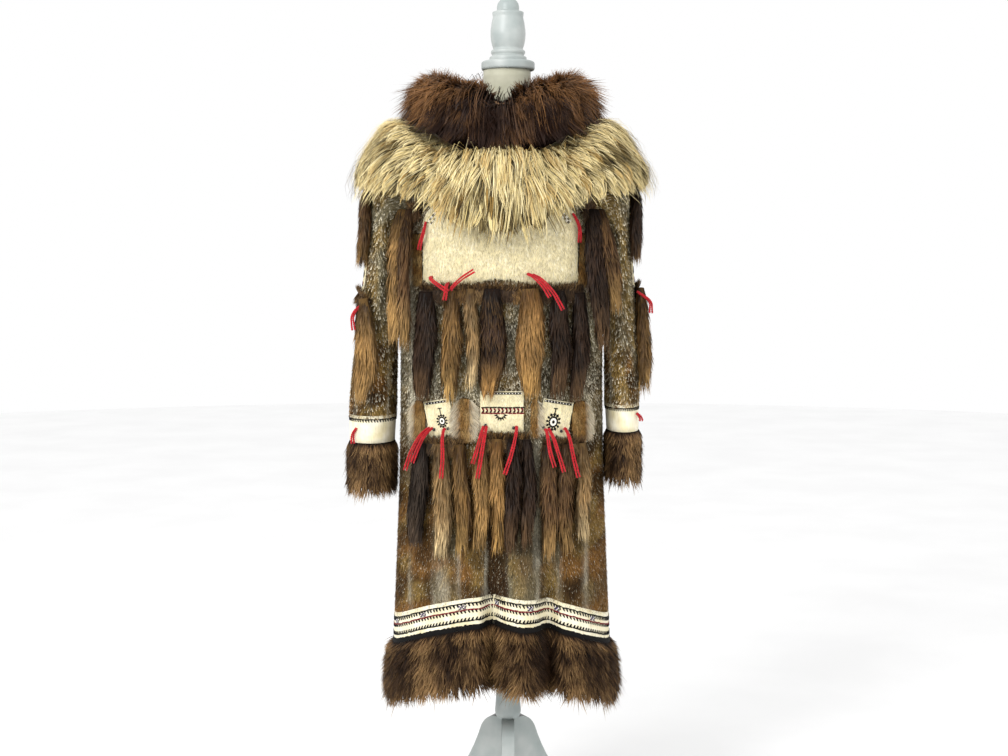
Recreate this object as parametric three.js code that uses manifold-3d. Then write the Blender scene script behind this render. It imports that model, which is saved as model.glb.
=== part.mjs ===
// A knee-length squirrel skin parka standing on a limbless dress form.
// Millimetres, +Z up, the front faces -Y. Left and right are as seen from the front.
// The origin lies on the floor, under the middle of the whole outline.
import * as THREE from 'three';
import { mergeVertices } from 'three/addons/utils/BufferGeometryUtils.js';
import Module from 'manifold-3d';

const wasm = await Module();
wasm.setup();

// ---------------------------------------------------------------- driving dimensions

const seamGap = 0.3;          // pieces stop this far from each other
const layGap = 0.8;           // what lies on a panel is this far off its smooth face
const wall = 5;               // squirrel skin with its lying pile
const plateThickness = 3;     // calfskin plates
const roundness = 2.2;        // power of the body's rounded oblong sections

const parkaX = -13;           // the parka hangs a little to one side of the stand's axis

const poleRadius = 22;
const poleFootRadius = 26.5;
const poleBottom = 262;
const legThickness = 25;
const legReach = 272;
const neckRadius = 47;
const neckTop = 1559.7;
const capRadius = 53;
const capThickness = 18;

const armholeZ = 1314;        // centre, half height and half depth of the armhole
const armholeHalfHeight = 122;
const armholeHalfDepth = 72;

const hemBandDrop = [1060, 1120];   // places on the body's run from neck to hem
const hemFurDrop = [1120, 1232];
const hemZ = 420;             // where the folds are fully grown

// ---------------------------------------------------------------- materials

const material = (name, color, roughness, metalness = 0) =>
  Object.assign(new THREE.MeshStandardMaterial({ color, roughness, metalness }), { name });

const squirrelSkin = material('squirrel_skin', '#7b5a35', 0.9);
const darkFur = material('dark_fur', '#3f2718', 0.85);
const wolfFur = material('wolf_fur', '#cbb98a', 0.85);
const trimFur = material('trim_fur', '#5d4026', 0.85);
const tailFur = material('tail_fur', '#6a4727', 0.85);
const calfskin = material('calfskin', '#e9dfc2', 0.8);
const redYarn = material('red_yarn', '#b8141c', 0.9);
const formCloth = material('form_cloth', '#c9c6b6', 0.9);
const paintedWood = material('painted_wood', '#dfe6e5', 0.35);

// ---------------------------------------------------------------- solids from grids

// Turns a list of points and triangles into one closed geometry that faces outwards.
function closedGeometry(points, triangles) {
  let volume = 0;
  for (const [a, b, c] of triangles) {
    volume += points[a].dot(new THREE.Vector3().crossVectors(points[b], points[c]));
  }
  const geometry = new THREE.BufferGeometry();
  const positions = points.flatMap((point) => point.toArray());
  const index = triangles.flatMap(([a, b, c]) => (volume > 0 ? [a, b, c] : [a, c, b]));
  geometry.setAttribute('position', new THREE.Float32BufferAttribute(positions, 3));
  geometry.setIndex(index);
  geometry.computeVertexNormals();
  return geometry;
}

const quad = (a, b, c, d) => [[a, b, c], [a, c, d]];

// A wall between an outer and an inner grid of rows. A closed wall runs round a tube;
// an open one has an edge on all four sides.
function wallGeometry(outer, inner, closed = false) {
  const rows = outer.length;
  const columns = outer[0].length;
  const points = [...outer.flat(), ...inner.flat()];
  const at = (side, row, column) => side * rows * columns + row * columns + (column % columns);
  const triangles = [];
  const lastColumn = closed ? columns : columns - 1;
  for (let row = 0; row < rows - 1; row += 1) {
    for (let column = 0; column < lastColumn; column += 1) {
      triangles.push(...quad(at(0, row, column), at(0, row + 1, column),
        at(0, row + 1, column + 1), at(0, row, column + 1)));
      triangles.push(...quad(at(1, row, column), at(1, row, column + 1),
        at(1, row + 1, column + 1), at(1, row + 1, column)));
    }
  }
  for (let column = 0; column < lastColumn; column += 1) {
    triangles.push(...quad(at(0, 0, column), at(0, 0, column + 1),
      at(1, 0, column + 1), at(1, 0, column)));
    triangles.push(...quad(at(0, rows - 1, column), at(1, rows - 1, column),
      at(1, rows - 1, column + 1), at(0, rows - 1, column + 1)));
  }
  if (!closed) {
    for (let row = 0; row < rows - 1; row += 1) {
      triangles.push(...quad(at(0, row, 0), at(1, row, 0), at(1, row + 1, 0), at(0, row + 1, 0)));
      triangles.push(...quad(at(0, row, columns - 1), at(0, row + 1, columns - 1),
        at(1, row + 1, columns - 1), at(1, row, columns - 1)));
    }
  }
  return closedGeometry(points, triangles);
}

// A solid through a stack of rings, each closed by a fan at its end.
function loftGeometry(rings) {
  const count = rings[0].length;
  const points = rings.flat();
  const triangles = [];
  for (let ring = 0; ring < rings.length - 1; ring += 1) {
    for (let step = 0; step < count; step += 1) {
      const next = (step + 1) % count;
      triangles.push(...quad(ring * count + step, ring * count + next,
        (ring + 1) * count + next, (ring + 1) * count + step));
    }
  }
  const last = (rings.length - 1) * count;
  for (let step = 1; step < count - 1; step += 1) {
    triangles.push([0, step + 1, step]);
    triangles.push([last, last + step, last + step + 1]);
  }
  return closedGeometry(points, triangles);
}

// A closed section carried all the way round, as a collar is.
function ringGeometry(sections) {
  const count = sections[0].length;
  const points = sections.flat();
  const triangles = [];
  sections.forEach((section, here) => {
    const next = (here + 1) % sections.length;
    for (let step = 0; step < count; step += 1) {
      const after = (step + 1) % count;
      triangles.push(...quad(here * count + step, next * count + step,
        next * count + after, here * count + after));
    }
  });
  return closedGeometry(points, triangles);
}

function toManifold(geometry) {
  const bare = geometry.clone();
  bare.deleteAttribute('normal');
  bare.deleteAttribute('uv');
  const merged = mergeVertices(bare, 1e-3);
  return new wasm.Manifold(new wasm.Mesh({
    numProp: 3,
    vertProperties: new Float32Array(merged.attributes.position.array),
    triVerts: new Uint32Array(merged.index.array),
  }));
}

// Joins locks to the strip that their roots are sewn into.
function joinedGeometry(parts) {
  const joined = parts.map(toManifold).reduce((sum, part) => sum.add(part));
  const mesh = joined.getMesh();
  const geometry = new THREE.BufferGeometry();
  geometry.setAttribute('position', new THREE.Float32BufferAttribute(mesh.vertProperties, 3));
  geometry.setIndex(new THREE.Uint32BufferAttribute(mesh.triVerts, 1));
  geometry.computeVertexNormals();
  return geometry;
}

// A table is a list of column names and rows of numbers.
const table = (columns, rows) => rows.map((row) =>
  Object.fromEntries(columns.map((column, place) => [column, row[place]])));

// A smooth run of sections through a table's rows, read by the row's first column.
function smoothRun(columns, rows) {
  const keys = rows.map((row) => row[0]);
  const values = rows.flatMap((row) => row.slice(1));
  const run = new THREE.CubicInterpolant(keys, values, columns.length - 1);
  return (key) => {
    const result = run.evaluate(Math.min(Math.max(key, keys[0]), keys.at(-1)));
    return Object.fromEntries(columns.slice(1).map((column, place) => [column, result[place]]));
  };
}

const clamp = THREE.MathUtils.clamp;
const lerp = THREE.MathUtils.lerp;
const bump = (distance) => (Math.abs(distance) < 1 ? 0.5 + 0.5 * Math.cos(Math.PI * distance) : 0);

// ---------------------------------------------------------------- the body's surface

// Outer face of the parka's body. drop runs down the parka from the neck to the fur hem.
// Each section is a rounded oblong whose front and back hang lower or higher than its sides.
const levelColumns = ['drop', 'halfWidth', 'front', 'back', 'sideZ', 'frontZ', 'backZ'];
const bodyLevel = smoothRun(levelColumns, [
  [0, 62, 60, 60, 1500, 1484, 1502],
  [45, 105, 88, 85, 1486, 1442, 1478],
  [90, 150, 108, 104, 1468, 1396, 1440],
  [138, 190, 121, 117, 1440, 1348, 1392],
  [172, 203, 127, 122, 1400, 1311, 1352],
  [230, 206, 131, 125, 1345, 1262, 1300],
  [310, 205, 133, 127, 1265, 1195, 1218],
  [390, 203, 135, 127, 1186, 1122, 1136],
  [600, 201, 137, 129, 975, 925, 932],
  [800, 204, 142, 133, 770, 745, 750],
  [960, 210, 147, 138, 606, 618, 606],
  [1060, 215, 150, 142, 481, 540, 512],
  [1120, 217, 152, 144, 420, 480, 452],
  [1232, 219, 155, 147, 306, 366, 336],
]);

// Vertical folds. depth is how far the fold stands out, or falls in where it is negative.
const foldColumns = ['x', 'halfWidth', 'depth', 'topZ'];
const frontFolds = table(foldColumns, [
  [-104, 56, 9, 800],
  [-18, 26, -48, 790],
  [42, 48, 44, 800],
  [92, 28, -36, 780],
  [152, 42, 7, 800],
]);
const backFolds = table(foldColumns, [
  [-120, 44, 16, 900],
  [-62, 34, -18, 860],
  [4, 52, 26, 900],
  [74, 34, -20, 860],
  [132, 40, 14, 880],
]);

function foldShift(x, z, isFront) {
  const total = (isFront ? frontFolds : backFolds).reduce((sum, fold) => {
    const grown = clamp((fold.topZ - z) / (fold.topZ - hemZ), 0, 1.2) ** 1.5;
    return sum + fold.depth * grown * bump((x - fold.x) / fold.halfWidth);
  }, 0);
  return isFront ? -total : total;
}

// Angle 0 is the side seam at +X and -PI/2 the centre of the front.
function plainPoint(level, drop, angle) {
  const row = level(drop);
  const across = Math.cos(angle);
  const along = Math.sin(angle);
  const power = 2 / roundness;
  const depth = along < 0 ? row.front : row.back;
  const endZ = along < 0 ? row.frontZ : row.backZ;
  return new THREE.Vector3(
    row.halfWidth * Math.sign(across) * Math.abs(across) ** power,
    depth * Math.sign(along) * Math.abs(along) ** power,
    lerp(row.sideZ, endZ, along * along),
  );
}

function smoothBodyPoint(drop, angle, offset) {
  const step = 0.02;
  const round = plainPoint(bodyLevel, drop, angle + step)
    .sub(plainPoint(bodyLevel, drop, angle - step));
  const down = plainPoint(bodyLevel, Math.max(drop, 2) + 2, angle)
    .sub(plainPoint(bodyLevel, Math.max(drop, 2) - 2, angle));
  const outward = down.cross(round).normalize();
  return plainPoint(bodyLevel, drop, angle).addScaledVector(outward, offset);
}

function bodyPoint(drop, angle, offset = 0) {
  const point = smoothBodyPoint(drop, angle, offset);
  point.y += foldShift(point.x, point.z, Math.sin(angle) < 0);
  return point;
}

// The drop and angle at which the body's outer face has the two coordinates asked for.
function findOnBody(axes, wanted, start) {
  let [drop, angle] = start;
  const step = 1e-3;
  for (let turn = 0; turn < 12; turn += 1) {
    const here = bodyPoint(drop, angle);
    const byDrop = bodyPoint(drop + step, angle).sub(here).divideScalar(step);
    const byAngle = bodyPoint(drop, angle + step).sub(here).divideScalar(step);
    const [first, second] = axes;
    const miss = [wanted[0] - here[first], wanted[1] - here[second]];
    const scale = byDrop[first] * byAngle[second] - byDrop[second] * byAngle[first];
    drop += clamp((miss[0] * byAngle[second] - miss[1] * byAngle[first]) / scale, -80, 80);
    angle += clamp((byDrop[first] * miss[1] - byDrop[second] * miss[0]) / scale, -0.3, 0.3);
    drop = clamp(drop, 2, 1230);
  }
  return [drop, angle];
}

const findOnFront = (x, z) =>
  findOnBody(['x', 'z'], [x, z], [1500 - z, -Math.acos(clamp(x / 215, -0.98, 0.98))]);
const frontPoint = (x, z, offset) => bodyPoint(...findOnFront(x, z), offset);

// Where something hangs free before the front: it bridges the valleys between the folds.
function hangPoint(x, z, offset, halfWidth) {
  const point = smoothBodyPoint(...findOnFront(x, z), offset);
  const standOut = [-1, 0, 1].map((side) => -foldShift(x + side * halfWidth, z, true));
  point.y -= Math.max(0, ...standOut);
  return point;
}

// ---------------------------------------------------------------- body panels

const seamAngle = 0.0009;

// The front and back stop at the armhole, which is an oval in side view.
function armholeMiss(point) {
  return (point.y / armholeHalfDepth) ** 2 + ((point.z - armholeZ) / armholeHalfHeight) ** 2 - 1;
}

function edgeAngle(drop, facing) {
  if (armholeMiss(bodyPoint(drop, facing * seamAngle)) > 0) return seamAngle;
  let inside = seamAngle;
  let outside = Math.PI / 2;
  for (let turn = 0; turn < 30; turn += 1) {
    const middle = (inside + outside) / 2;
    if (armholeMiss(bodyPoint(drop, facing * middle)) < 0) inside = middle;
    else outside = middle;
  }
  return outside;
}

// Columns of a panel from one side seam to the other, closer together across the folds.
function columnFractions(count, foldedHalf) {
  const samples = 400;
  const weights = Array.from({ length: samples }, (_, place) => {
    const x = Math.cos(Math.PI * (1 - (place + 0.5) / samples));
    return 1 + foldedHalf.gain * bump((x - foldedHalf.centre) / foldedHalf.reach);
  });
  const total = weights.reduce((sum, weight) => sum + weight, 0);
  const fractions = [0];
  let sum = 0;
  weights.forEach((weight, place) => {
    sum += weight;
    while (fractions.length < count && sum >= (total * fractions.length) / count - 1e-9) {
      fractions.push((place + 1) / samples);
    }
  });
  fractions.push(1);
  return fractions;
}

const frontColumns = columnFractions(28, { centre: 0.17, reach: 0.7, gain: 2.8 });
const backColumns = columnFractions(18, { centre: 0.02, reach: 0.9, gain: 0.6 });

// facing is -1 for the front and 1 for the back.
function panelRow(facing, drop, offset) {
  const columns = facing < 0 ? frontColumns : backColumns;
  const edge = edgeAngle(drop, facing);
  return columns.map((fraction) => {
    const angle = edge + (1 - fraction) * (Math.PI - 2 * edge);
    return bodyPoint(drop, facing * angle, offset);
  });
}

function panelGeometry(facing, drops, outerOffsets, innerOffsets) {
  const outer = drops.map((drop, row) => panelRow(facing, drop, outerOffsets[row]));
  const inner = drops.map((drop, row) => panelRow(facing, drop, innerOffsets[row]));
  return wallGeometry(outer, inner);
}

const shoulderDrops = [0, 22, 45, 90, 134];
const bodyDrops = [
  ...shoulderDrops, 148, 168, 205, 310, 358, 390, 560, 720, 800, 870, 940, 1000, hemBandDrop[0],
];
const fill = (list, value) => list.map(() => value);

const bodyFront = panelGeometry(-1, bodyDrops, fill(bodyDrops, 0), fill(bodyDrops, -wall));
const bodyBack = panelGeometry(1, bodyDrops, fill(bodyDrops, 0), fill(bodyDrops, -wall));

// The calfskin band is sewn under the skins, and the fur hem under the band.
const bandDrops = [hemBandDrop[0] + seamGap, (hemBandDrop[0] + hemBandDrop[1]) / 2, hemBandDrop[1]];
const hemBand = (facing) => panelGeometry(facing, bandDrops, fill(bandDrops, 0), fill(bandDrops, -wall));

// Section of a fur border: how far down it the point lies, and how far out and in it stands.
const furSection = table(['at', 'outside', 'inside'], [
  [0, 3, 5],
  [0.1, 13, 7],
  [0.32, 21, 9],
  [0.68, 23, 9],
  [0.9, 17, 7],
  [1, 8, 3],
]);
const hemFurDrops = furSection.map(({ at }) =>
  lerp(hemFurDrop[0] + seamGap, hemFurDrop[1], at));
const hemFur = (facing) => panelGeometry(facing, hemFurDrops,
  furSection.map(({ outside }) => outside), furSection.map(({ inside }) => -inside));

// ---------------------------------------------------------------- sleeves

// Rings of the hanging sleeve from the armhole to the wrist, seen from the front: its
// under edge, its outer edge and half its depth. The sleeve lies nearly flat.
const sleeveColumns = ['innerX', 'innerZ', 'outerX', 'outerZ', 'halfDepth'];
const sleeveRings = table(sleeveColumns, [
  [210, 1187, 218, 1431, 76],
  [212, 1178, 238, 1404, 78],
  [212, 1165, 252, 1345, 79],
  [211, 1146, 259, 1270, 78],
  [210, 1112, 267, 1180, 76],
  [209, 1056, 280, 1085, 73],
  [209, 985, 294, 990, 71],
  [210, 930, 301, 930, 70],
  [211, 878, 304, 878, 69],
  [214, 824, 304, 824, 68],
  [218, 726, 301, 726, 67],
]);
const wristRing = 8;          // the band starts here, and each border takes one ring more
const sleeveSteps = 18;
const sleeveSides = table(['side', 'tuckIn', 'lift'], [
  [-1, 0, 0],
  [1, 30, 22],
]);

// ring may lie between two rows. turn 0 is the outer edge, PI the under edge.
function sleevePoint(sleeve, ring, turn, offset) {
  const first = Math.min(Math.floor(ring), sleeveRings.length - 2);
  const mix = ring - first;
  const read = (column) => lerp(sleeveRings[first][column], sleeveRings[first + 1][column], mix);
  const lower = clamp((ring - 2) / (wristRing - 2), 0, 1);
  const under = new THREE.Vector3(read('innerX') - 0.12 * sleeve.tuckIn * lower, 0,
    read('innerZ') + sleeve.lift * lower);
  const outer = new THREE.Vector3(read('outerX') - sleeve.tuckIn * lower, 0,
    read('outerZ') + sleeve.lift * lower);
  const half = outer.clone().sub(under).multiplyScalar(0.5);
  const point = under.clone().add(half)
    .addScaledVector(half.clone().normalize(), (half.length() + offset) * Math.cos(turn));
  point.y = -(read('halfDepth') + offset) * Math.sin(turn);
  point.x *= sleeve.side;
  return point;
}

// A point this far off the sleeve's outer face, measured square to it.
function offSleeve(sleeve, ring, turn, offset) {
  const point = sleevePoint(sleeve, ring, turn, 0);
  const round = sleevePoint(sleeve, ring, turn + 0.05, 0).sub(sleevePoint(sleeve, ring, turn - 0.05, 0));
  const down = sleevePoint(sleeve, ring + 0.05, turn, 0).sub(sleevePoint(sleeve, ring - 0.05, turn, 0));
  const outward = down.cross(round).normalize();
  if (outward.x * sleeve.side < 0) outward.negate();
  return point.addScaledVector(outward, offset);
}

const turns = Array.from({ length: sleeveSteps }, (_, step) => (2 * Math.PI * step) / sleeveSteps);

// The end of the sleeve lies on the body, round the armhole.
function armholeRing(sleeve, reach) {
  return turns.map((turn) => {
    const y = -(armholeHalfDepth + reach) * Math.sin(turn);
    const z = armholeZ + (armholeHalfHeight + reach) * Math.cos(turn);
    const [drop, angle] = findOnBody(['y', 'z'], [y, z], [1550 - z, Math.asin(y / 140)]);
    const point = bodyPoint(drop, angle, layGap);
    point.x *= sleeve.side;
    return point;
  });
}

const sleeveWall = 4;
function sleeveGeometry(sleeve) {
  const rings = Array.from({ length: wristRing + 1 }, (_, ring) => ring);
  const outer = rings.map((ring) => turns.map((turn) => sleevePoint(sleeve, ring, turn, 0)));
  const inner = rings.map((ring) => turns.map((turn) => sleevePoint(sleeve, ring, turn, -sleeveWall)));
  outer.unshift(armholeRing(sleeve, 1 + sleeveWall));
  inner.unshift(armholeRing(sleeve, 1));
  return wallGeometry(outer, inner, true);
}

function cuffGeometry(sleeve, ringStart, sections) {
  const grid = (offset) => sections.map((section) => turns.map((turn) =>
    sleevePoint(sleeve, lerp(ringStart, Math.ceil(ringStart + 0.5), section.at), turn, section[offset])));
  return wallGeometry(grid('outside'), grid('inside'), true);
}

const cuffBandSection = table(['at', 'outside', 'inside'], [[0, 0, -sleeveWall], [1, 0, -sleeveWall]]);
const cuffFurSection = table(['at', 'outside', 'inside'], [
  [0, 1, -4],
  [0.14, 5, -6],
  [0.5, 8, -7],
  [0.85, 7, -7],
  [1, 3, -4],
]);
const ringGap = 0.006;        // a seam's gap, as a share of one ring

// ---------------------------------------------------------------- collar of two furs

// A fur collar lies on the body between two drops. The rest of its closed section is a
// row for each corner: its reach and height at the sides, at the front and at the back,
// and its share in the lobes that part at the centre of the front.
const collarColumns = ['halfWidth', 'sideZ', 'front', 'frontZ', 'back', 'backZ', 'lobe'];
const darkCollar = {
  seat: [104, 90, 45, 22, 6],
  gap: 1.4,                   // over the body's facets
  corners: table(collarColumns, [
    [78, 1546, 72, 1520, 74, 1545, 0.4],
    [112, 1570, 100, 1552, 100, 1572, 1],
    [150, 1572, 126, 1548, 126, 1570, 1],
    [186, 1546, 148, 1515, 146, 1540, 0.7],
    [205, 1502, 160, 1462, 158, 1492, 0.4],
    [199, 1472, 156, 1412, 152, 1450, 0.1],
  ]),
};
const wolfCollar = {
  seat: [126, 108],
  gap: 0.9,
  corners: table(collarColumns, [
    [206, 1463, 160, 1400, 157, 1438, 0],
    [234, 1446, 174, 1378, 172, 1416, 0],
    [263, 1405, 184, 1335, 182, 1372, 0],
    [282, 1364, 185, 1286, 182, 1318, 0],
    [284, 1338, 176, 1244, 172, 1276, 0],
    [277, 1338, 150, 1243, 146, 1276, 0],
    [268, 1368, 144, 1290, 139, 1322, 0],
    [247, 1420, 138, 1336, 134, 1374, 0],
  ]),
};
const collarSteps = 28;
const cleftWidth = 0.2;
const cleftDepth = 34;

function collarGeometry({ seat, gap, corners }) {
  const sections = Array.from({ length: collarSteps }, (_, step) => {
    const angle = (2 * Math.PI * step) / collarSteps - Math.PI / 2;
    const cleft = Math.sin(angle) < 0 ? Math.exp(-((Math.cos(angle) / cleftWidth) ** 2)) : 0;
    const free = corners.map((corner) => {
      const point = plainPoint(() => corner, 0, angle);
      point.y *= 1 - 0.07 * cleft * corner.lobe;
      point.z -= cleftDepth * cleft * corner.lobe;
      return point;
    });
    return [...seat.map((drop) => smoothBodyPoint(drop, angle, gap)), ...free];
  });
  return ringGeometry(sections);
}

// ---------------------------------------------------------------- what lies on the front

// A thin piece on the front, between a low and a high edge over each of its columns.
// tilt turns it about its own middle.
function frontPatch({ centreX, centreZ, halfWidth, columns, rows, low, high, tilt = 0, thickness, gap = layGap }) {
  const grid = (offset) => Array.from({ length: rows + 1 }, (_, row) =>
    Array.from({ length: columns + 1 }, (__, column) => {
      const across = lerp(-1, 1, column / columns);
      const x = across * halfWidth;
      const z = lerp(high(across), low(across), row / rows);
      const turned = THREE.MathUtils.degToRad(tilt);
      return frontPoint(centreX + x * Math.cos(turned) - z * Math.sin(turned),
        centreZ + x * Math.sin(turned) + z * Math.cos(turned), offset);
    }));
  return wallGeometry(grid(gap + thickness), grid(gap));
}

const roundedEdge = (height, sharpness) => (across) =>
  height * (1 - Math.abs(across * 0.985) ** sharpness) ** (1 / sharpness);

const chestPlate = frontPatch({
  centreX: -2, centreZ: 1212, halfWidth: 147, columns: 12, rows: 4, thickness: plateThickness,
  high: (across) => 32 + roundedEdge(72, 2.4)(across),
  low: (across) => -38 - roundedEdge(36, 7)(across) + 12 * bump(across / 0.5),
});

// Squirrel strips beside the chest plate, their pale belly fur to the outside.
const chestTrim = (side) => frontPatch({
  centreX: -2 + side * 162, centreZ: 1196, halfWidth: 11, columns: 2, rows: 3, thickness: 9,
  high: () => 40, low: () => -54, tilt: side * -2,
});

const waistPlates = table(['place', 'x', 'z', 'halfWidth', 'halfHeight', 'tilt'], [
  ['left', -118, 882, 25, 33, 11],
  ['centre', 1, 896, 41, 38, 0],
  ['right', 103, 882, 29, 33, -11],
]);
const waistPlate = ({ x, z, halfWidth, halfHeight, tilt }) => frontPatch({
  centreX: x, centreZ: z, halfWidth, columns: 4, rows: 3, tilt, thickness: plateThickness,
  high: () => halfHeight, low: () => -halfHeight,
});

// Rounded squirrel pieces at the sides of the outer waist plates.
const waistSkins = table(['name', 'x', 'z', 'halfWidth', 'halfHeight'], [
  ['waist_skin_left_outer', -159, 876, 12.5, 36],
  ['waist_skin_left_inner', -70, 882, 19, 38],
  ['waist_skin_right_inner', 64, 886, 7, 34],
  ['waist_skin_right_outer', 152, 876, 17, 36],
]);
const waistSkin = ({ x, z, halfWidth, halfHeight }) => frontPatch({
  centreX: x, centreZ: z, halfWidth, columns: 4, rows: 4, thickness: 8,
  high: roundedEdge(halfHeight, 3), low: (across) => -roundedEdge(halfHeight, 3)(across),
});

// Small calfskin plate on the outside of each upper sleeve.
function sleevePlate(sleeve) {
  const grid = (offset) => [3.95, 4.25, 4.55].map((ring) =>
    [-0.5, -0.25, 0, 0.25, 0.5].map((turn) =>
      offSleeve(sleeve, ring, turn, offset)));
  return wallGeometry(grid(layGap + plateThickness), grid(layGap));
}

// ---------------------------------------------------------------- tails and yarn

// Thickness of a hanging lock along its length, as a share of its widest place.
const tailSwell = table(['at', 'share'], [
  [0, 0.5],
  [0.1, 0.78],
  [0.35, 1],
  [0.7, 0.94],
  [0.9, 0.62],
  [1, 0.14],
]);

// A four-sided lock along a route. spot(at, offset) is a point of the route, or one that
// stands off it, away from what the lock hangs before.
function lockGeometry(spot, width, depth) {
  const rings = tailSwell.map(({ at, share }) => {
    const centre = spot(at, 0);
    const facing = spot(at, 10).sub(centre);
    const ahead = spot(Math.min(at + 0.02, 1), 0).sub(spot(Math.max(at - 0.02, 0), 0)).normalize();
    const across = new THREE.Vector3().crossVectors(ahead, facing).normalize();
    const outward = new THREE.Vector3().crossVectors(across, ahead).normalize();
    return [[1, 0], [0, 1], [-1, 0], [0, -1]].map(([side, out]) => centre.clone()
      .addScaledVector(across, (side * share * width) / 2)
      .addScaledVector(outward, (out * share * depth) / 2));
  });
  return loftGeometry(rings);
}

// Tails in front of the body. z is the height of the root, lean the sideways drift.
const tailColumns = ['x', 'z', 'length', 'width', 'depth', 'lean'];
const chestTails = table(tailColumns, [
  [-137, 1124, 204, 46, 26, -2],
  [-92, 1126, 202, 36, 24, 4],
  [-57, 1130, 176, 24, 20, 2],
  [-17, 1130, 198, 48, 26, -2],
  [53, 1130, 198, 52, 26, 4],
  [105, 1126, 194, 38, 24, 0],
  [142, 1122, 202, 34, 26, 0],
]);
const waistTails = {
  left: table(tailColumns, [
    [-147, 831, 188, 36, 24, -6],
    [-109, 832, 206, 32, 24, -2],
    [-76, 832, 196, 26, 22, 2],
  ]),
  centre: table(tailColumns, [
    [-36, 842, 200, 24, 22, -5],
    [-8, 844, 208, 26, 24, -2],
    [21, 844, 210, 26, 24, 2],
    [47, 842, 190, 22, 22, 5],
  ]),
  right: table(tailColumns, [
    [85, 831, 206, 28, 24, -2],
    [117, 831, 200, 28, 24, 2],
    [147, 831, 172, 26, 22, 6],
  ]),
};
const tailClearance = 4;      // tails hang this far off what is behind them

function frontLock({ x, z, length, width, depth, lean }) {
  const spot = (at, offset) => hangPoint(x + lean * at, z - length * at,
    tailClearance + depth / 2 + offset, width / 2);
  return lockGeometry(spot, width, depth);
}

function frontTails(tails) {
  const left = Math.min(...tails.map((tail) => tail.x - tail.width * 0.25));
  const right = Math.max(...tails.map((tail) => tail.x + tail.width * 0.25));
  const top = Math.max(...tails.map((tail) => tail.z));
  const foot = Math.min(...tails.map((tail) => tail.z));
  const strip = frontPatch({
    centreX: (left + right) / 2, centreZ: foot - 1, halfWidth: (right - left) / 2,
    columns: Math.ceil((right - left) / 28), rows: 1, thickness: 14,
    high: () => top - foot + 3, low: () => -6,
  });
  return joinedGeometry([strip, ...tails.map(frontLock)]);
}

// Tails from the front of the shoulder, which hang before the armhole seam.
const shoulderTails = table(['side', 'rootX', 'tipX', 'tipY', 'tipZ', 'width'], [
  [-1, 156, 178, -126, 1006, 32],
  [-1, 168, 208, -112, 1026, 32],
  [1, 156, 180, -126, 1010, 32],
  [1, 168, 212, -112, 1088, 32],
]);
const shoulderRootZ = 1280;
const shoulderTailDepth = 22;

function shoulderTailGroup(side) {
  const tails = shoulderTails.filter((tail) => tail.side === side);
  const locks = tails.map(({ rootX, tipX, tipY, tipZ, width }) => {
    const root = frontPoint(side * rootX, shoulderRootZ, 14);
    const tip = new THREE.Vector3(side * tipX, tipY, tipZ);
    const hang = new THREE.Vector3(lerp(root.x, tip.x, 0.6), Math.min(root.y, tip.y) - 12,
      lerp(root.z, tip.z, 0.35));
    const curve = new THREE.QuadraticBezierCurve3(root, hang, tip);
    const away = new THREE.Vector3(side * 0.3, -1, 0).normalize();
    return lockGeometry((at, offset) => curve.getPoint(at).addScaledVector(away, offset),
      width, shoulderTailDepth);
  });
  const strip = frontPatch({
    centreX: side * 161, centreZ: shoulderRootZ - 2, halfWidth: 9, columns: 2, rows: 1,
    gap: seamGap, thickness: 16, high: () => 7, low: () => -4,
  });
  return joinedGeometry([strip, ...locks]);
}

// Tails on the outside of the sleeves: ring is where the root is sewn on.
const sleeveTails = table(['name', 'side', 'ring', 'reach', 'turn', 'width', 'depth'], [
  ['upper', -1, 2.34, 1.48, 0.3, 34, 20],
  ['upper', -1, 2.34, 1.6, -0.3, 34, 20],
  ['lower', -1, 4.66, 2.45, 1.05, 36, 22],
  ['lower', -1, 4.66, 2.1, -1.05, 34, 20],
  ['upper', 1, 2.34, 1.4, 0.3, 34, 20],
  ['upper', 1, 2.34, 1.6, -0.3, 34, 20],
  ['lower', 1, 4.66, 2.5, 0.3, 36, 22],
  ['lower', 1, 4.66, 2.1, -0.3, 34, 20],
]);

function sleeveTailGroup(sleeve, name) {
  const tails = sleeveTails.filter((tail) => tail.name === name && tail.side === sleeve.side);
  const locks = tails.map(({ ring, reach, turn, width, depth }) =>
    lockGeometry((at, offset) =>
      offSleeve(sleeve, ring + reach * at, turn, tailClearance + depth / 2 + offset), width, depth));
  const start = tails[0].ring;
  const reach = Math.abs(tails[0].turn) + 0.2;
  const columns = Array.from({ length: 9 }, (_, column) => lerp(-reach, reach, column / 8));
  const grid = (offset) => [start - 0.04, start + 0.06].map((ring) =>
    columns.map((turn) => offSleeve(sleeve, ring, turn, offset)));
  return joinedGeometry([wallGeometry(grid(layGap + 13), grid(layGap)), ...locks]);
}

// Red yarn ties. Each hangs from a knot and runs down over the tails.
const yarnColumns = ['group', 'x', 'z', 'endX', 'endZ'];
const yarns = table(yarnColumns, [
  ['chest', -128, 1152, -112, 1118],
  ['chest', -96, 1152, -108, 1114],
  ['chest', -78, 1152, -92, 1118],
  ['chest', 42, 1152, 68, 1114],
  ['chest', 48, 1152, 76, 1118],
  ['chest', 92, 1152, 104, 1084],
  ['waist_left', -136, 860, -164, 778],
  ['waist_left', -130, 860, -154, 790],
  ['waist_left', -106, 860, -104, 768],
  ['waist_centre', -34, 866, -50, 798],
  ['waist_centre', -28, 866, -44, 770],
  ['waist_centre', 24, 866, 4, 778],
  ['waist_centre', 30, 866, 12, 790],
  ['waist_right', 82, 860, 88, 790],
  ['waist_right', 88, 860, 104, 784],
  ['waist_right', 116, 860, 126, 776],
  ['waist_right', 121, 860, 134, 768],
]);
const yarnThickness = 3.4;
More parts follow.
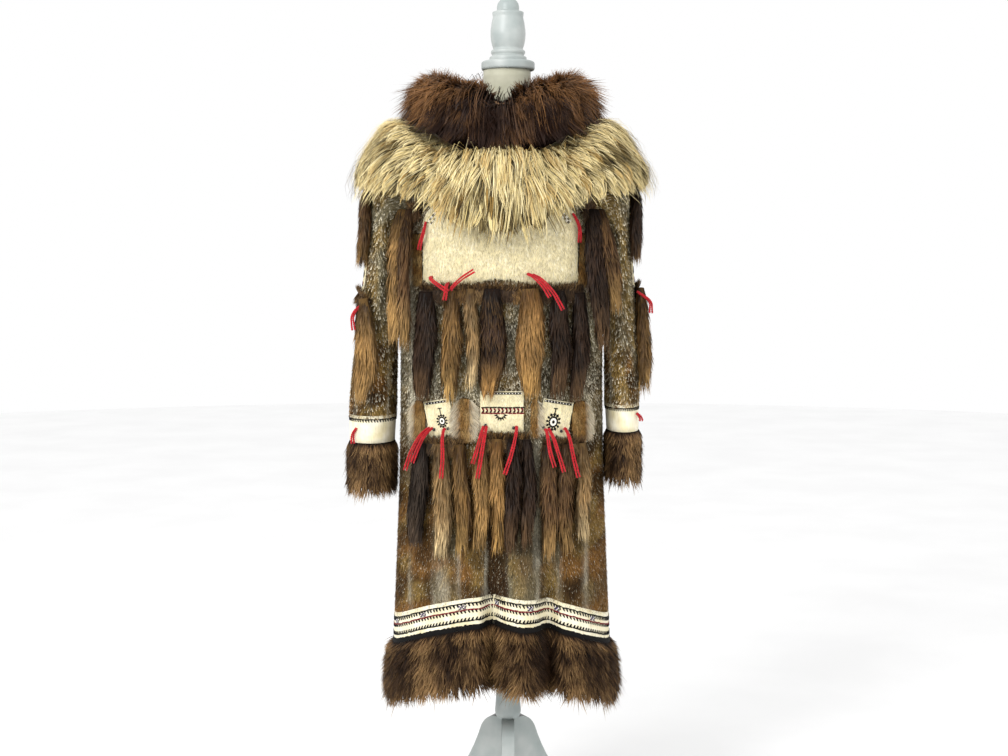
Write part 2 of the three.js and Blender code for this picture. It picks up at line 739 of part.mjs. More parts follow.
const yarnOffset = 36;        // clear of the tails that they run over

function strandGeometry(points) {
  const section = new THREE.Shape();
  [0, 1, 2].forEach((corner) => {
    const angle = (corner * 2 * Math.PI) / 3;
    const spot = [(Math.cos(angle) * yarnThickness) / 2, (Math.sin(angle) * yarnThickness) / 2];
    if (corner === 0) section.moveTo(...spot);
    else section.lineTo(...spot);
  });
  return new THREE.ExtrudeGeometry(section, {
    steps: 5, extrudePath: new THREE.CatmullRomCurve3(points), bevelEnabled: false,
  });
}

function yarnGroup(group) {
  const strands = yarns.filter((yarn) => yarn.group === group);
  const left = Math.min(...strands.map((strand) => strand.x)) - 4;
  const right = Math.max(...strands.map((strand) => strand.x)) + 4;
  const { z } = strands[0];
  const onPlate = plateThickness + 2 * layGap;
  const cord = frontPatch({
    centreX: (left + right) / 2, centreZ: z, halfWidth: (right - left) / 2,
    columns: Math.ceil((right - left) / 18), rows: 1, thickness: 3, gap: onPlate,
    high: () => 2, low: () => -2,
  });
  const parts = strands.map((strand) => strandGeometry([
    frontPoint(strand.x, z, onPlate + 1.5),
    frontPoint(strand.x, z - 1, 16),
    hangPoint(lerp(strand.x, strand.endX, 0.15), z - 5, yarnOffset, 18),
    hangPoint(lerp(strand.x, strand.endX, 0.6), lerp(z, strand.endZ, 0.55), yarnOffset + 2, 18),
    hangPoint(strand.endX, strand.endZ, yarnOffset, 18),
  ]));
  return joinedGeometry([cord, ...parts]);
}

// ---------------------------------------------------------------- dress form and stand

// The form fills the shoulders and is free of the parka below them.
const formLevel = smoothRun(levelColumns, [
  [0, 172, 104, 100, 1372, 1308, 1330],
  [80, 156, 112, 108, 1292, 1250, 1262],
  [160, 142, 104, 98, 1206, 1190, 1192],
  [280, 120, 88, 84, 1086, 1086, 1086],
  [400, 154, 108, 110, 962, 962, 962],
  [470, 158, 110, 112, 888, 888, 888],
  [490, 150, 104, 106, 862, 862, 862],
]);
const formSteps = 28;
const formClearance = 1.6;
const formBottom = 862;
const neckX = 11;             // the form's neck leans to the stand's axis

function formGeometry() {
  const angles = Array.from({ length: formSteps }, (_, step) => (2 * Math.PI * step) / formSteps);
  const circle = (radius, x, z) => angles.map((angle) =>
    new THREE.Vector3(x + radius * Math.cos(angle), radius * Math.sin(angle), z));
  const rings = [
    circle(neckRadius, neckX, neckTop),
    circle(neckRadius, neckX, 1524),
    circle(neckRadius + 5, neckX / 2, 1501),
  ];
  for (const drop of shoulderDrops) {
    rings.push(angles.map((angle) => bodyPoint(drop, angle, -wall - formClearance)));
  }
  for (const drop of [0, 80, 160, 220, 280, 340, 400, 470, 490]) {
    rings.push(angles.map((angle) => plainPoint(formLevel, drop, angle)));
  }
  return loftGeometry(rings);
}

// Turned pieces. Each profile runs from the axis at the bottom to the axis at the top.
const lathe = (corners, segments = 16) => {
  const geometry = new THREE.LatheGeometry(corners.map(([r, z]) => new THREE.Vector2(r, z)), segments);
  return geometry.rotateX(Math.PI / 2).rotateZ(Math.PI / segments);
};

const pole = lathe([
  [0, poleBottom],
  [poleFootRadius - 5, poleBottom],
  [poleFootRadius - 1.2, poleBottom + 4],
  [poleFootRadius, poleBottom + 12],
  [poleRadius + 2, poleBottom + 42],
  [poleRadius, poleBottom + 110],
  [poleRadius, formBottom - seamGap],
  [0, formBottom - seamGap],
]);

const neckCap = lathe([
  [0, neckTop + seamGap],
  [capRadius - 2, neckTop + seamGap],
  [capRadius, neckTop + seamGap + 3],
  [capRadius, neckTop + capThickness - 3],
  [capRadius - 3, neckTop + capThickness],
  [0, neckTop + capThickness],
], 24);

const finialBase = neckTop + capThickness + seamGap;
const finialProfile = table(['radius', 'height'], [
  [0, 0], [37, 0], [37, 8], [31, 11], [34, 16], [34, 20], [29, 24], [34, 42], [34.5, 60],
  [30, 87], [31, 97], [22, 99], [22, 108], [17, 119], [8, 126], [0, 127],
]);
const finial = lathe(finialProfile.map(({ radius, height }) => [radius, finialBase + height]));

// A flat board, cut with a curved back, that stands on a level foot.
function legGeometry() {
  const heel = 7.6;             // the boards meet round the axis
  const top = poleBottom - seamGap;
  const shape = new THREE.Shape();
  shape.moveTo(heel, 96);
  shape.lineTo(heel, top);
  shape.lineTo(26, top);
  shape.quadraticCurveTo(46, top - 2, 56, top - 24);
  shape.bezierCurveTo(78, 176, 118, 84, legReach, 26);
  shape.lineTo(legReach, 0);
  shape.lineTo(legReach - 62, 0);
  shape.bezierCurveTo(140, 34, 70, 60, heel, 96);
  return new THREE.ExtrudeGeometry(shape, { depth: legThickness, bevelEnabled: false, curveSegments: 10 })
    .translate(0, 0, -legThickness / 2).rotateX(Math.PI / 2);
}

// ---------------------------------------------------------------- assembly

const parkaOnForm = new THREE.Group();
const parka = new THREE.Group();
parka.position.x = parkaX;
parkaOnForm.add(parka);

function place(parent, name, geometry, look) {
  const mesh = new THREE.Mesh(geometry, look);
  mesh.name = name;
  parent.add(mesh);
  return mesh;
}

place(parkaOnForm, 'stand_pole', pole, paintedWood);
place(parkaOnForm, 'neck_cap', neckCap, paintedWood);
place(parkaOnForm, 'finial', finial, paintedWood);
['front', 'right', 'left'].forEach((where, turn) => {
  const leg = place(parkaOnForm, `leg_${where}`, legGeometry(), paintedWood);
  leg.rotation.z = -Math.PI / 2 + (turn * 2 * Math.PI) / 3;
});
place(parka, 'dress_form', formGeometry(), formCloth);

place(parka, 'body_front', bodyFront, squirrelSkin);
place(parka, 'body_back', bodyBack, squirrelSkin);
for (const [facing, where] of [[-1, 'front'], [1, 'back']]) {
  place(parka, `hem_band_${where}`, hemBand(facing), calfskin);
  place(parka, `hem_fur_${where}`, hemFur(facing), trimFur);
}
for (const sleeve of sleeveSides) {
  const where = sleeve.side < 0 ? 'left' : 'right';
  place(parka, `sleeve_${where}`, sleeveGeometry(sleeve), squirrelSkin);
  place(parka, `cuff_band_${where}`,
    cuffGeometry(sleeve, wristRing + ringGap, cuffBandSection), calfskin);
  place(parka, `cuff_fur_${where}`,
    cuffGeometry(sleeve, wristRing + 1 + ringGap, cuffFurSection), trimFur);
  place(parka, `sleeve_plate_${where}`, sleevePlate(sleeve), calfskin);
  place(parka, `sleeve_tails_upper_${where}`, sleeveTailGroup(sleeve, 'upper'), tailFur);
  place(parka, `sleeve_tails_lower_${where}`, sleeveTailGroup(sleeve, 'lower'), tailFur);
  place(parka, `shoulder_tails_${where}`, shoulderTailGroup(sleeve.side), tailFur);
  place(parka, `chest_trim_${where}`, chestTrim(sleeve.side), squirrelSkin);
}
place(parka, 'collar_dark', collarGeometry(darkCollar), darkFur);
place(parka, 'collar_wolf', collarGeometry(wolfCollar), wolfFur);
place(parka, 'chest_plate', chestPlate, calfskin);
place(parka, 'chest_tails', frontTails(chestTails), tailFur);
place(parka, 'chest_yarn', yarnGroup('chest'), redYarn);
for (const plate of waistPlates) {
  place(parka, `waist_plate_${plate.place}`, waistPlate(plate), calfskin);
  place(parka, `waist_tails_${plate.place}`, frontTails(waistTails[plate.place]), tailFur);
  place(parka, `waist_yarn_${plate.place}`, yarnGroup(`waist_${plate.place}`), redYarn);
}
waistSkins.forEach((skin) => place(parka, skin.name, waistSkin(skin), squirrelSkin));

// The middle of the outline stands over the origin.
const outline = new THREE.Box3().setFromObject(parkaOnForm, true);
const middle = outline.getCenter(new THREE.Vector3());
parkaOnForm.position.set(-middle.x, -middle.y, 0);

export default parkaOnForm;
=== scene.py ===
"""Looks of a squirrel skin parka on a dress form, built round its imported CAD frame.

Shapes are worked out in millimetres from the same driving sizes as the CAD part. The
parka's own frame has its middle under the neck and height 0 on the floor.
"""

import math

import bpy
import numpy as np

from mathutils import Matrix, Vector


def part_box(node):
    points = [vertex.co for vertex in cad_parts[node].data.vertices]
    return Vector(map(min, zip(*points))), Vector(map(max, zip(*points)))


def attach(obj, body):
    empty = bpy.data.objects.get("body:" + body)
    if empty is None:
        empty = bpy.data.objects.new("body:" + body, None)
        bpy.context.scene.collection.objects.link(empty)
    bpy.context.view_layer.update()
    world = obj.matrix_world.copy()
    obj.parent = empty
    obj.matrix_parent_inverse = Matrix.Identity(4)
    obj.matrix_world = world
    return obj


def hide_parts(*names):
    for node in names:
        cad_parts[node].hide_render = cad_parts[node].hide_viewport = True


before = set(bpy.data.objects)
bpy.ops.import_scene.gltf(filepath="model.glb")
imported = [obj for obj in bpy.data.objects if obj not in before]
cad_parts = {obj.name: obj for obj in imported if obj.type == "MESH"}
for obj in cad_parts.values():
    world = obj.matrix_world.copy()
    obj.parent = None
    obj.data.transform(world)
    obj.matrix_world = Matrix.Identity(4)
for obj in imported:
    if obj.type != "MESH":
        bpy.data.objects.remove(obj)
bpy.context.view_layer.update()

# ---------------------------------------------------------------- painted stand
# A turned wooden pole, neck cap and finial on three sawn board legs, in satin paint.
# The legs are screwed together under the pole, and cap and finial are dowelled on.

MM = 0.001
pole_low, pole_high = (np.array(corner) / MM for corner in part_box("stand_pole"))
AXIS = (pole_low + pole_high) / 2 * [1, 1, 0]


def linear(colour):
    """An sRGB hex colour as linear red, green and blue."""
    shares = [int(colour[at:at + 2], 16) / 255 for at in (1, 3, 5)]
    return np.array([s / 12.92 if s <= 0.04045 else ((s + 0.055) / 1.055) ** 2.4 for s in shares])


def node(tree, kind, inputs=None, **settings):
    """Adds a shader node. Each input is a plain value or a socket to link from."""
    made = tree.nodes.new("ShaderNode" + kind)
    for key, value in settings.items():
        setattr(made, key, value)
    for key, value in (inputs or {}).items():
        if isinstance(value, bpy.types.NodeSocket):
            tree.links.new(value, made.inputs[key])
        else:
            made.inputs[key].default_value = value
    return made


def surface(name, colour, roughness, finish=None):
    """A material with a Principled shader, its node tree and that shader."""
    made = bpy.data.materials.new(name)
    made.use_nodes = True
    shader = made.node_tree.nodes["Principled BSDF"]
    shader.inputs["Base Color"].default_value = (*linear(colour), 1)
    shader.inputs["Roughness"].default_value = roughness
    for key, value in (finish or {}).items():
        shader.inputs[key].default_value = value
    return made, made.node_tree, shader


def noise(tree, size, stretch=(1, 1, 1), detail=3.0):
    """A noise of that grain size in millimetres, finer or coarser along each axis."""
    place = node(tree, "TexCoord").outputs["Object"]
    scaled = node(tree, "Mapping", {"Vector": place, "Scale": stretch})
    made = node(tree, "TexNoise", {"Vector": scaled.outputs["Vector"], "Scale": 1 / (size * MM),
                                   "Detail": detail})
    return made.outputs["Fac"]


def blended(tree, share, first, second, start=0.35, end=0.65, most=1.0):
    """A first colour that turns into a second as a share goes from a start to an end."""
    spread = node(tree, "MapRange", {"Value": share, "From Min": start, "From Max": end,
                                     "To Max": most})
    both = node(tree, "MixRGB", {"Fac": spread.outputs["Result"], "Color1": first,
                                 "Color2": (*linear(second), 1)})
    return both.outputs["Color"]


def toned(tree, shader, share, first, second):
    """Mixes two colours by a share and sends them to the shader's colour."""
    colour = blended(tree, share, (*linear(first), 1), second)
    tree.links.new(colour, shader.inputs["Base Color"])


def bumped(tree, shader, height, depth):
    """Raises the surface by up to that depth in millimetres."""
    bump = node(tree, "Bump", {"Height": height, "Distance": depth * MM, "Strength": 1.0})
    tree.links.new(bump.outputs["Normal"], shader.inputs["Normal"])


def painted_wood():
    """Satin paint brushed on wood, a little uneven in tone."""
    made, tree, shader = surface("satin_painted_wood", "#a9b0ae", 0.4)
    toned(tree, shader, noise(tree, 60), "#98a19f", "#b3b8b5")
    bumped(tree, shader, noise(tree, 5, (1, 1, 0.12)), 0.15)
    return made


def build(name, points, faces, look, tints=None, stands_for=(), smooth=True):
    """A mesh piece from points in millimetres and one or more arrays of faces' corners."""
    corners = np.concatenate([array.ravel() for array in faces]).astype(np.int32)
    sizes = np.concatenate([np.full(len(array), array.shape[1]) for array in faces])
    mesh = bpy.data.meshes.new(name)
    mesh.vertices.add(len(points))
    mesh.vertices.foreach_set("co", (points * MM).astype(np.float32).ravel())
    mesh.loops.add(len(corners))
    mesh.loops.foreach_set("vertex_index", corners)
    mesh.polygons.add(len(sizes))
    mesh.polygons.foreach_set("loop_start", (np.cumsum(sizes) - sizes).astype(np.int32))
    mesh.update(calc_edges=True)
    mesh.polygons.foreach_set("use_smooth", np.full(len(sizes), smooth))
    if tints is not None:
        layer = mesh.color_attributes.new("tint", "FLOAT_COLOR", "POINT")
        colours = np.column_stack([tints, np.ones(len(tints))])
        layer.data.foreach_set("color", colours.astype(np.float32).ravel())
    mesh.materials.append(look)
    piece = bpy.data.objects.new(name, mesh)
    bpy.context.scene.collection.objects.link(piece)
    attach(piece, "root")
    if stands_for:
        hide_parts(*stands_for)
    return piece


def grid_faces(rows, columns, start=0, wrap=False):
    """The squares of a grid of points. A wrapped grid closes on itself sideways."""
    row, column = np.meshgrid(np.arange(rows - 1), np.arange(columns if wrap else columns - 1),
                              indexing="ij")
    after = (column + 1) % columns
    squares = [row * columns + column, (row + 1) * columns + column,
               (row + 1) * columns + after, row * columns + after]
    return start + np.stack(squares, axis=-1).reshape(-1, 4)


def all_round(steps):
    """Angles evenly round a circle."""
    return np.linspace(0, 2 * np.pi, steps, endpoint=False)


def ring(radius, height, steps):
    """Points round the stand's axis."""
    angle = all_round(steps)
    across = [radius * np.cos(angle), radius * np.sin(angle), np.full(steps, height)]
    return AXIS + np.column_stack(across)


def rounded(corners):
    """A profile with its corners cut back twice over, so that they are round."""
    line = np.array(corners, float)
    for _ in range(2):
        cut = 0.14 * (line[1:] - line[:-1])
        ahead, behind = line[:-1] + cut, line[1:] - cut
        middle = np.stack([ahead, behind], axis=1).reshape(-1, 2)
        line = np.concatenate([line[:1], middle, line[-1:]])
    return line


def turned(name, profile, look):
    """A turned piece on the stand's axis, from rows of radius and height."""
    line, steps = rounded(profile), 56
    points = np.concatenate([ring(radius, height, steps) for radius, height in line])
    last = (len(line) - 1) * steps
    faces = [grid_faces(len(line), steps, wrap=True),
             np.arange(steps)[None, ::-1], last + np.arange(steps)[None, :]]
    return build(name + "_turned", points, faces, look, stands_for=[name])


wood = painted_wood()
pole_foot, pole_top = pole_low[2], pole_high[2]
turned("stand_pole", [[21.5, pole_foot], [24.8, pole_foot + 4], [26.5, pole_foot + 12],
                      [24, pole_foot + 42], [22, pole_foot + 110], [22, pole_top]],
       wood)
cap_low, cap_high = (corner.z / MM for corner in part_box("neck_cap"))
turned("neck_cap", [[44, cap_low], [51, cap_low], [53, cap_low + 3], [53, cap_high - 3],
                    [50, cap_high], [40, cap_high]], wood)
FINIAL = [[37, 0], [37, 8], [31, 11], [34, 16], [34, 20], [29, 24], [32, 32], [34, 42], [34.8, 52],
          [34.5, 62], [32.5, 76], [30, 87], [31, 93], [31, 97], [22, 99], [22, 108], [20.5, 114],
          [17, 119], [12, 124], [5, 126.8], [1, 127]]
finial_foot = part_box("finial")[0].z / MM
turned("finial", [[radius, finial_foot + height] for radius, height in FINIAL],
       wood)
for where in ("front", "right", "left"):
    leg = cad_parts["leg_" + where]
    leg.data.materials.clear()
    leg.data.materials.append(wood)
    worn_edge = leg.modifiers.new("worn_edge", "BEVEL")
    worn_edge.width = 1.6 * MM
    worn_edge.segments = 2
    worn_edge.limit_method = "ANGLE"

# ---------------------------------------------------------------- dress form
# A limbless padded form in a plain knitted cover, whose neck carries the turned cap.
# It fills the parka's shoulders and stands free of the fur below them.

PARKA = AXIS + [-13, 0, 0]        # the parka hangs a little to one side of the axis
NECK_X = 11                       # the form's neck leans back to that axis
ROUNDNESS = 2.2                   # power of the body's rounded oblong sections
WALL = 5                          # squirrel skin with its lying pile

# Each row: run from neck to hem, half width, depth before and behind, and the height of
# the section at its sides, front and back.
BODY = np.array([
    [0, 62, 60, 60, 1500, 1484, 1502],
    [45, 105, 88, 85, 1486, 1442, 1478],
    [90, 150, 108, 104, 1468, 1396, 1440],
    [138, 190, 121, 117, 1440, 1348, 1392],
    [172, 203, 127, 122, 1400, 1311, 1352],
    [230, 206, 131, 125, 1345, 1262, 1300],
    [310, 205, 133, 127, 1265, 1195, 1218],
    [390, 203, 135, 127, 1186, 1122, 1136],
    [600, 201, 137, 129, 975, 925, 932],
    [800, 204, 142, 133, 770, 745, 750],
    [960, 210, 147, 138, 606, 618, 606],
    [1060, 215, 150, 142, 481, 540, 512],
    [1120, 217, 152, 144, 420, 480, 452],
    [1232, 219, 155, 147, 306, 366, 336],
], float)
FORM = np.array([
    [0, 172, 104, 100, 1372, 1308, 1330],
    [80, 156, 112, 108, 1292, 1250, 1262],
    [160, 142, 104, 98, 1206, 1190, 1192],
    [280, 120, 88, 84, 1086, 1086, 1086],
    [400, 154, 108, 110, 962, 962, 962],
    [470, 158, 110, 112, 888, 888, 888],
    [490, 150, 104, 106, 862, 862, 862],
], float)


def section(table, run):
    """The row at each run, on a smooth curve through the rows of a table."""
    keys, values = table[:, 0], table[:, 1:]
    run = np.clip(np.asarray(run, float), keys[0], keys[-1])
    upper = np.clip(np.searchsorted(keys, run, side="right"), 1, len(keys) - 1)
    lower = upper - 1
    before = np.where(lower > 0, lower - 1, upper)
    after = np.where(upper < len(keys) - 1, upper + 1, lower)
    half = (keys[upper] - keys[lower]) / 2
    back = half / (keys[lower] - keys[before])
    ahead = half / (keys[after] - keys[upper])
    p = (run - keys[lower]) / (2 * half)
    weights = [
        -back * p ** 3 + 2 * back * p ** 2 - back * p,
        (1 + back) * p ** 3 - (1.5 + 2 * back) * p ** 2 + (back - 0.5) * p + 1,
        -(1 + ahead) * p ** 3 + (1.5 + ahead) * p ** 2 + 0.5 * p,
        ahead * p ** 3 - ahead * p ** 2,
    ]
    places = [before, lower, upper, after]
    return sum(weight[..., None] * values[place] for weight, place in zip(weights, places))


def oblong(row, angle):
    """A point of a rounded oblong section. Angle 0 is the side at +X, -pi/2 the front."""
    half_width, front, back, side_z, front_z, back_z = np.moveaxis(row, -1, 0)
    across, along = np.cos(angle), np.sin(angle)
    depth = np.where(along < 0, front, back)
    end_z = np.where(along < 0, front_z, back_z)
    return np.stack([
        half_width * np.sign(across) * np.abs(across) ** (2 / ROUNDNESS),
        depth * np.sign(along) * np.abs(along) ** (2 / ROUNDNESS),
        side_z + (end_z - side_z) * along ** 2,
    ], axis=-1)


def unit(vectors):
    """Vectors brought to a length of 1."""
    return vectors / np.maximum(np.linalg.norm(vectors, axis=-1, keepdims=True), 1e-9)


def smooth_body(run, angle, offset):
    """The parka's body without its folds, moved outwards by an offset."""
    run, angle = np.broadcast_arrays(np.asarray(run, float), np.asarray(angle, float))
    step = 0.02
    here = oblong(section(BODY, run), angle)
    round_it = oblong(section(BODY, run), angle + step) - oblong(section(BODY, run), angle - step)
    inner = np.maximum(run, 2)
    down = oblong(section(BODY, inner + 2), angle) - oblong(section(BODY, inner - 2), angle)
    return here + np.asarray(offset)[..., None] * unit(np.cross(down, round_it))


def loft(name, rings, look, stands_for):
    """A closed smooth solid through a stack of rings of points."""
    steps = len(rings[0])
    last = (len(rings) - 1) * steps
    faces = [grid_faces(len(rings), steps, wrap=True),
             np.arange(steps)[None, :], last + np.arange(steps)[None, ::-1]]
    return build(name, np.concatenate(rings), faces, look, stands_for=stands_for)


def knitted_cover():
    """Fine jersey in a greenish cream, with its small ribs."""
    made, tree, shader = surface("form_jersey", "#b9b7a2", 0.9, {"Sheen Weight": 0.3})
    toned(tree, shader, noise(tree, 45), "#b1af99", "#c3c1ad")
    place = node(tree, "TexCoord").outputs["Object"]
    ribs = node(tree, "TexWave", {"Vector": place, "Scale": 160.0, "Distortion": 1.2},
                bands_direction="X")
    bumped(tree, shader, ribs.outputs["Fac"], 0.25)
    return made


form_steps = 60
form_angle = all_round(form_steps)
form_rings = []
neck_top = cap_low - 0.3
for height, radius, lean in [(neck_top, 47, 1), (1545, 47, 1), (1530, 47, 1), (1520, 47.5, 0.97),
                             (1508, 50, 0.72), (1501, 52, 0.5)]:
    form_rings.append(np.column_stack([
        NECK_X * lean + radius * np.cos(form_angle), radius * np.sin(form_angle),
        np.full(form_steps, height)]) + PARKA)
for run in np.linspace(0, 134, 18):
    form_rings.append(smooth_body(run, form_angle, -WALL - 1.6) + PARKA)
for run in np.linspace(0, 490, 50):
    form_rings.append(oblong(section(FORM, np.full(form_steps, run)), form_angle) + PARKA)
loft("dress_form_cover", form_rings, knitted_cover(), ["dress_form"])

# ---------------------------------------------------------------- squirrel skin body
# Front and back, each of many small skins sewn edge to edge, with the pile down.
# The pale belly fur shows at their seams, and soft folds run down to the hem.

FOLDS = {  # place across, half width, depth outwards and the height where each begins
    -1: [[-104, 56, 9, 800], [-18, 26, -48, 790], [42, 48, 44, 800], [92, 28, -36, 780],
         [152, 42, 7, 800]],
    1: [[-120, 44, 16, 900], [-62, 34, -18, 860], [4, 52, 26, 900], [74, 34, -20, 860],
        [132, 40, 14, 880]],
}
HEM_Z = 420                       # the folds are fully grown here
ARMHOLE = {"z": 1314, "half_height": 122, "half_depth": 72}
HEM_BAND = (1060, 1120)           # places on the body's run
HEM_FUR = (1120, 1232)
FRONT, BACK = -1, 1
HALVES = ((FRONT, "front"), (BACK, "back"))


def bump_shape(distance):
    """A soft hump that falls from 1 at its middle to 0 at a distance of 1."""
    return np.where(np.abs(distance) < 1, 0.5 + 0.5 * np.cos(np.pi * distance), 0.0)


def fold_depth(x, z, facing):
    """How far the folds stand out from the smooth body."""
    total = np.zeros(np.broadcast(x, z).shape)
    for centre, half_width, depth, top in FOLDS[facing]:
        grown = np.clip((top - z) / (top - HEM_Z), 0, 1.2) ** 1.5
        total += depth * grown * bump_shape((x - centre) / half_width)
    return total


def body(run, angle, offset=0.0):
    """A point of the parka's body, with its folds."""
    point = smooth_body(run, angle, offset)
    x, z = point[..., 0], point[..., 2]
    is_front = np.sin(angle) < 0
    point[..., 1] += np.where(is_front, -fold_depth(x, z, FRONT), fold_depth(x, z, BACK))
    return point


def soft_troughs(x, z, facing):
    """Shallow creases that the skins fall into, none alike, in millimetres inwards."""
    total = 0.0
    for centre, half_width, depth, top, foot in [
            [-176, 20, 3.4, 1150, 560], [-138, 15, 2.4, 960, 500], [-74, 22, 2.6, 1020, 520],
            [12, 16, 2.0, 900, 560], [66, 20, 3.0, 860, 470], [124, 17, 2.8, 1010, 500],
            [181, 18, 3.2, 1120, 540]]:
        drift = centre * facing * -1 + 14 * np.sin(z / 97 + centre)
        length = bump_shape((z - (top + foot) / 2) / ((top - foot) / 2))
        total = total - depth * length * bump_shape((x - drift) / half_width)
    return total


def edge_angle(run, facing):
    """Where a panel ends at the side seam, or at the armhole, an oval in side view."""
    def miss(angle):
        y, z = np.moveaxis(body(run, facing * angle)[..., 1:], -1, 0)
        return (y / ARMHOLE["half_depth"]) ** 2 + (
            (z - ARMHOLE["z"]) / ARMHOLE["half_height"]) ** 2 - 1
    inside = np.full(len(run), 0.0009)
    outside = np.full(len(run), np.pi / 2)
    at_seam = miss(inside) > 0
    for _ in range(30):
        middle = (inside + outside) / 2
        within = miss(middle) < 0
        inside = np.where(within, middle, inside)
        outside = np.where(within, outside, middle)
    return np.where(at_seam, 0.0009, outside)


def panel(runs, facing, offsets, columns=65):
    """A grid over the front or back of the body, its rows running down."""
    runs = np.asarray(runs, float)
    edge = edge_angle(runs, facing)[:, None]
    share = np.linspace(0, 1, columns)[None, :]
    angle = facing * (edge + (1 - share) * (np.pi - 2 * edge))
    run = np.repeat(runs[:, None], columns, axis=1)
    offset = np.broadcast_to(np.asarray(offsets, float).reshape(-1, 1), run.shape)
    point = body(run, angle, offset)
    point[..., 1] -= facing * -1 * soft_troughs(point[..., 0], point[..., 2], facing)
    return point


def faced(at, wrap=False):
    """A grid of points with its outward and downward directions."""
    down = unit(np.gradient(at, axis=0))
    if wrap:
        across = np.roll(at, -1, axis=1) - np.roll(at, 1, axis=1)
    else:
        across = np.gradient(at, axis=1)
    out = unit(np.cross(down, across))
    away = at - at.mean(axis=1, keepdims=True)
    if (away * out).sum() < 0:
        out = -out
    return {"at": at, "out": out, "down": down, "wrap": wrap}


def facing_out(points, faces):
    """The squares of a closed piece, turned over where they face inwards."""
    a, b, c, d = (points[faces[:, corner]] for corner in range(4))
    volume = np.einsum("ij,ij->", a, np.cross(b, c)) + np.einsum("ij,ij->", a, np.cross(c, d))
    return faces[:, ::-1] if volume < 0 else faces


def shell(name, outer, inner, look, stands_for, tints=None, wrap=False):
    """A closed wall between an outer and an inner grid of points."""
    rows, columns = outer.shape[:2]
    size = rows * columns
    points = np.concatenate([outer.reshape(-1, 3), inner.reshape(-1, 3)]) + PARKA
    out_faces = grid_faces(rows, columns, wrap=wrap)
    in_faces = grid_faces(rows, columns, size, wrap)[:, ::-1]
    number = np.arange(size).reshape(rows, columns)
    rims = [(number[0], False), (number[-1], True)]
    if not wrap:
        rims += [(number[:, 0], True), (number[:, -1], False)]
    strips = []
    for rim, forward in rims:
        rim = np.append(rim, rim[0]) if wrap else rim
        strip = np.stack([rim[:-1], rim[1:], rim[1:] + size, rim[:-1] + size], axis=-1)
        strips.append(strip[:, ::-1] if forward else strip)
    faces = facing_out(points, np.concatenate([out_faces, in_faces, *strips]))
    if tints is not None:
        tints = np.concatenate([tints.reshape(-1, 3)] * 2)
    return build(name, points, [faces], look, tints, stands_for)


def scatter(grid, count, rng):
    """Roots spread evenly over a grid, with their directions and their share down and across."""
    if grid["wrap"]:
        closed = {key: np.concatenate([grid[key], grid[key][:, :1]], axis=1)
                  for key in ("at", "out", "down")}
    else:
        closed = grid
    at = closed["at"]
    rows, columns = at.shape[:2]
    sides = np.cross(at[1:, :-1] - at[:-1, :-1], at[:-1, 1:] - at[:-1, :-1])
    area = np.cumsum(np.linalg.norm(sides, axis=2).ravel())
    cell = np.searchsorted(area / area[-1], rng.random(count))
    row, column = np.divmod(np.minimum(cell, len(area) - 1), columns - 1)
    u, v = rng.random(count), rng.random(count)
    roots = {}
    for key in ("at", "out", "down"):
        corners = closed[key]
        roots[key] = (
            corners[row, column] * ((1 - u) * (1 - v))[:, None]
            + corners[row + 1, column] * (u * (1 - v))[:, None]
            + corners[row, column + 1] * ((1 - u) * v)[:, None]
            + corners[row + 1, column + 1] * (u * v)[:, None])
    roots["out"], roots["down"] = unit(roots["out"]), unit(roots["down"])
    roots["row"], roots["column"] = (row + u) / (rows - 1), (column + v) / (columns - 1)
    roots["turn"] = roots["column"] * 2 * np.pi
    return roots


def kept(roots, mask):
    """Only the roots that a mask names."""
    return {key: values[mask] for key, values in roots.items()}


def strips(rows, colours):
    """Each hair as a strip of triangles, from rows of points: two a level, one at the tip."""
    corners = len(rows)
    first = (np.arange(len(rows[0])) * corners)[:, None]
    triangles = []
    for low in range(0, corners - 3, 2):
        triangles += [first + [low, low + 1, low + 3], first + [low, low + 3, low + 2]]
    triangles.append(first + [corners - 3, corners - 2, corners - 1])
    return (np.stack(rows, 1).reshape(-1, 3), np.concatenate(triangles),
            np.stack(colours, 1).reshape(-1, 3))


def blades(roots, length, width, lift, splay, tints, rng, steps=1, sag=0.0, lean=0.0, pull=0.0,
           blunt=False):
    """Tapered flat hairs, or blunt ones that widen to the tip. tints runs from root to tip."""
    count = len(roots["at"])
    side = unit(np.cross(roots["down"], roots["out"]))
    raised = (lift * rng.uniform(0.5, 1.5, count))[:, None]
    sideways = (lean + splay * rng.normal(size=count))[:, None]
    along = unit(roots["down"] * np.cos(raised) + roots["out"] * np.sin(raised) + side * sideways)
    flat = unit(np.cross(along, roots["out"]))
    roll = rng.normal(0, 0.35, count)[:, None]
    flat = unit(flat * np.cos(roll) + np.cross(along, flat) * np.sin(roll))
    reach = (length * rng.uniform(0.72, 1.18, count))[:, None]
    half = (width * rng.uniform(0.7, 1.3, count))[:, None] / 2
    if blunt:
        tip = roots["at"] + along * reach
        points = np.stack([roots["at"], tip + flat * half, tip - flat * half], axis=1)
        corners = np.arange(count * 3).reshape(-1, 3)
        return points.reshape(-1, 3), corners, np.stack([tints[0], tints[1], tints[1]],
                                                        axis=1).reshape(-1, 3)
    rows, colours = [], []
    for level in range(steps + 1):
        share = level / steps
        place = share * (len(tints) - 1)
        low = min(int(place), len(tints) - 2)
        colour = tints[low] + (tints[low + 1] - tints[low]) * (place - low)
        spine = roots["at"] + along * reach * share + [0, 0, -sag * share ** 2]
        spine = spine + pull * share ** 1.4
        taper = (1 - share ** 1.6) * (0.75 + 0.5 * share)
        if level == steps:
            rows.append(spine)
            colours.append(colour)
        else:
            rows += [spine - flat * half * taper, spine + flat * half * taper]
            colours += [colour, colour]
    return strips(rows, colours)


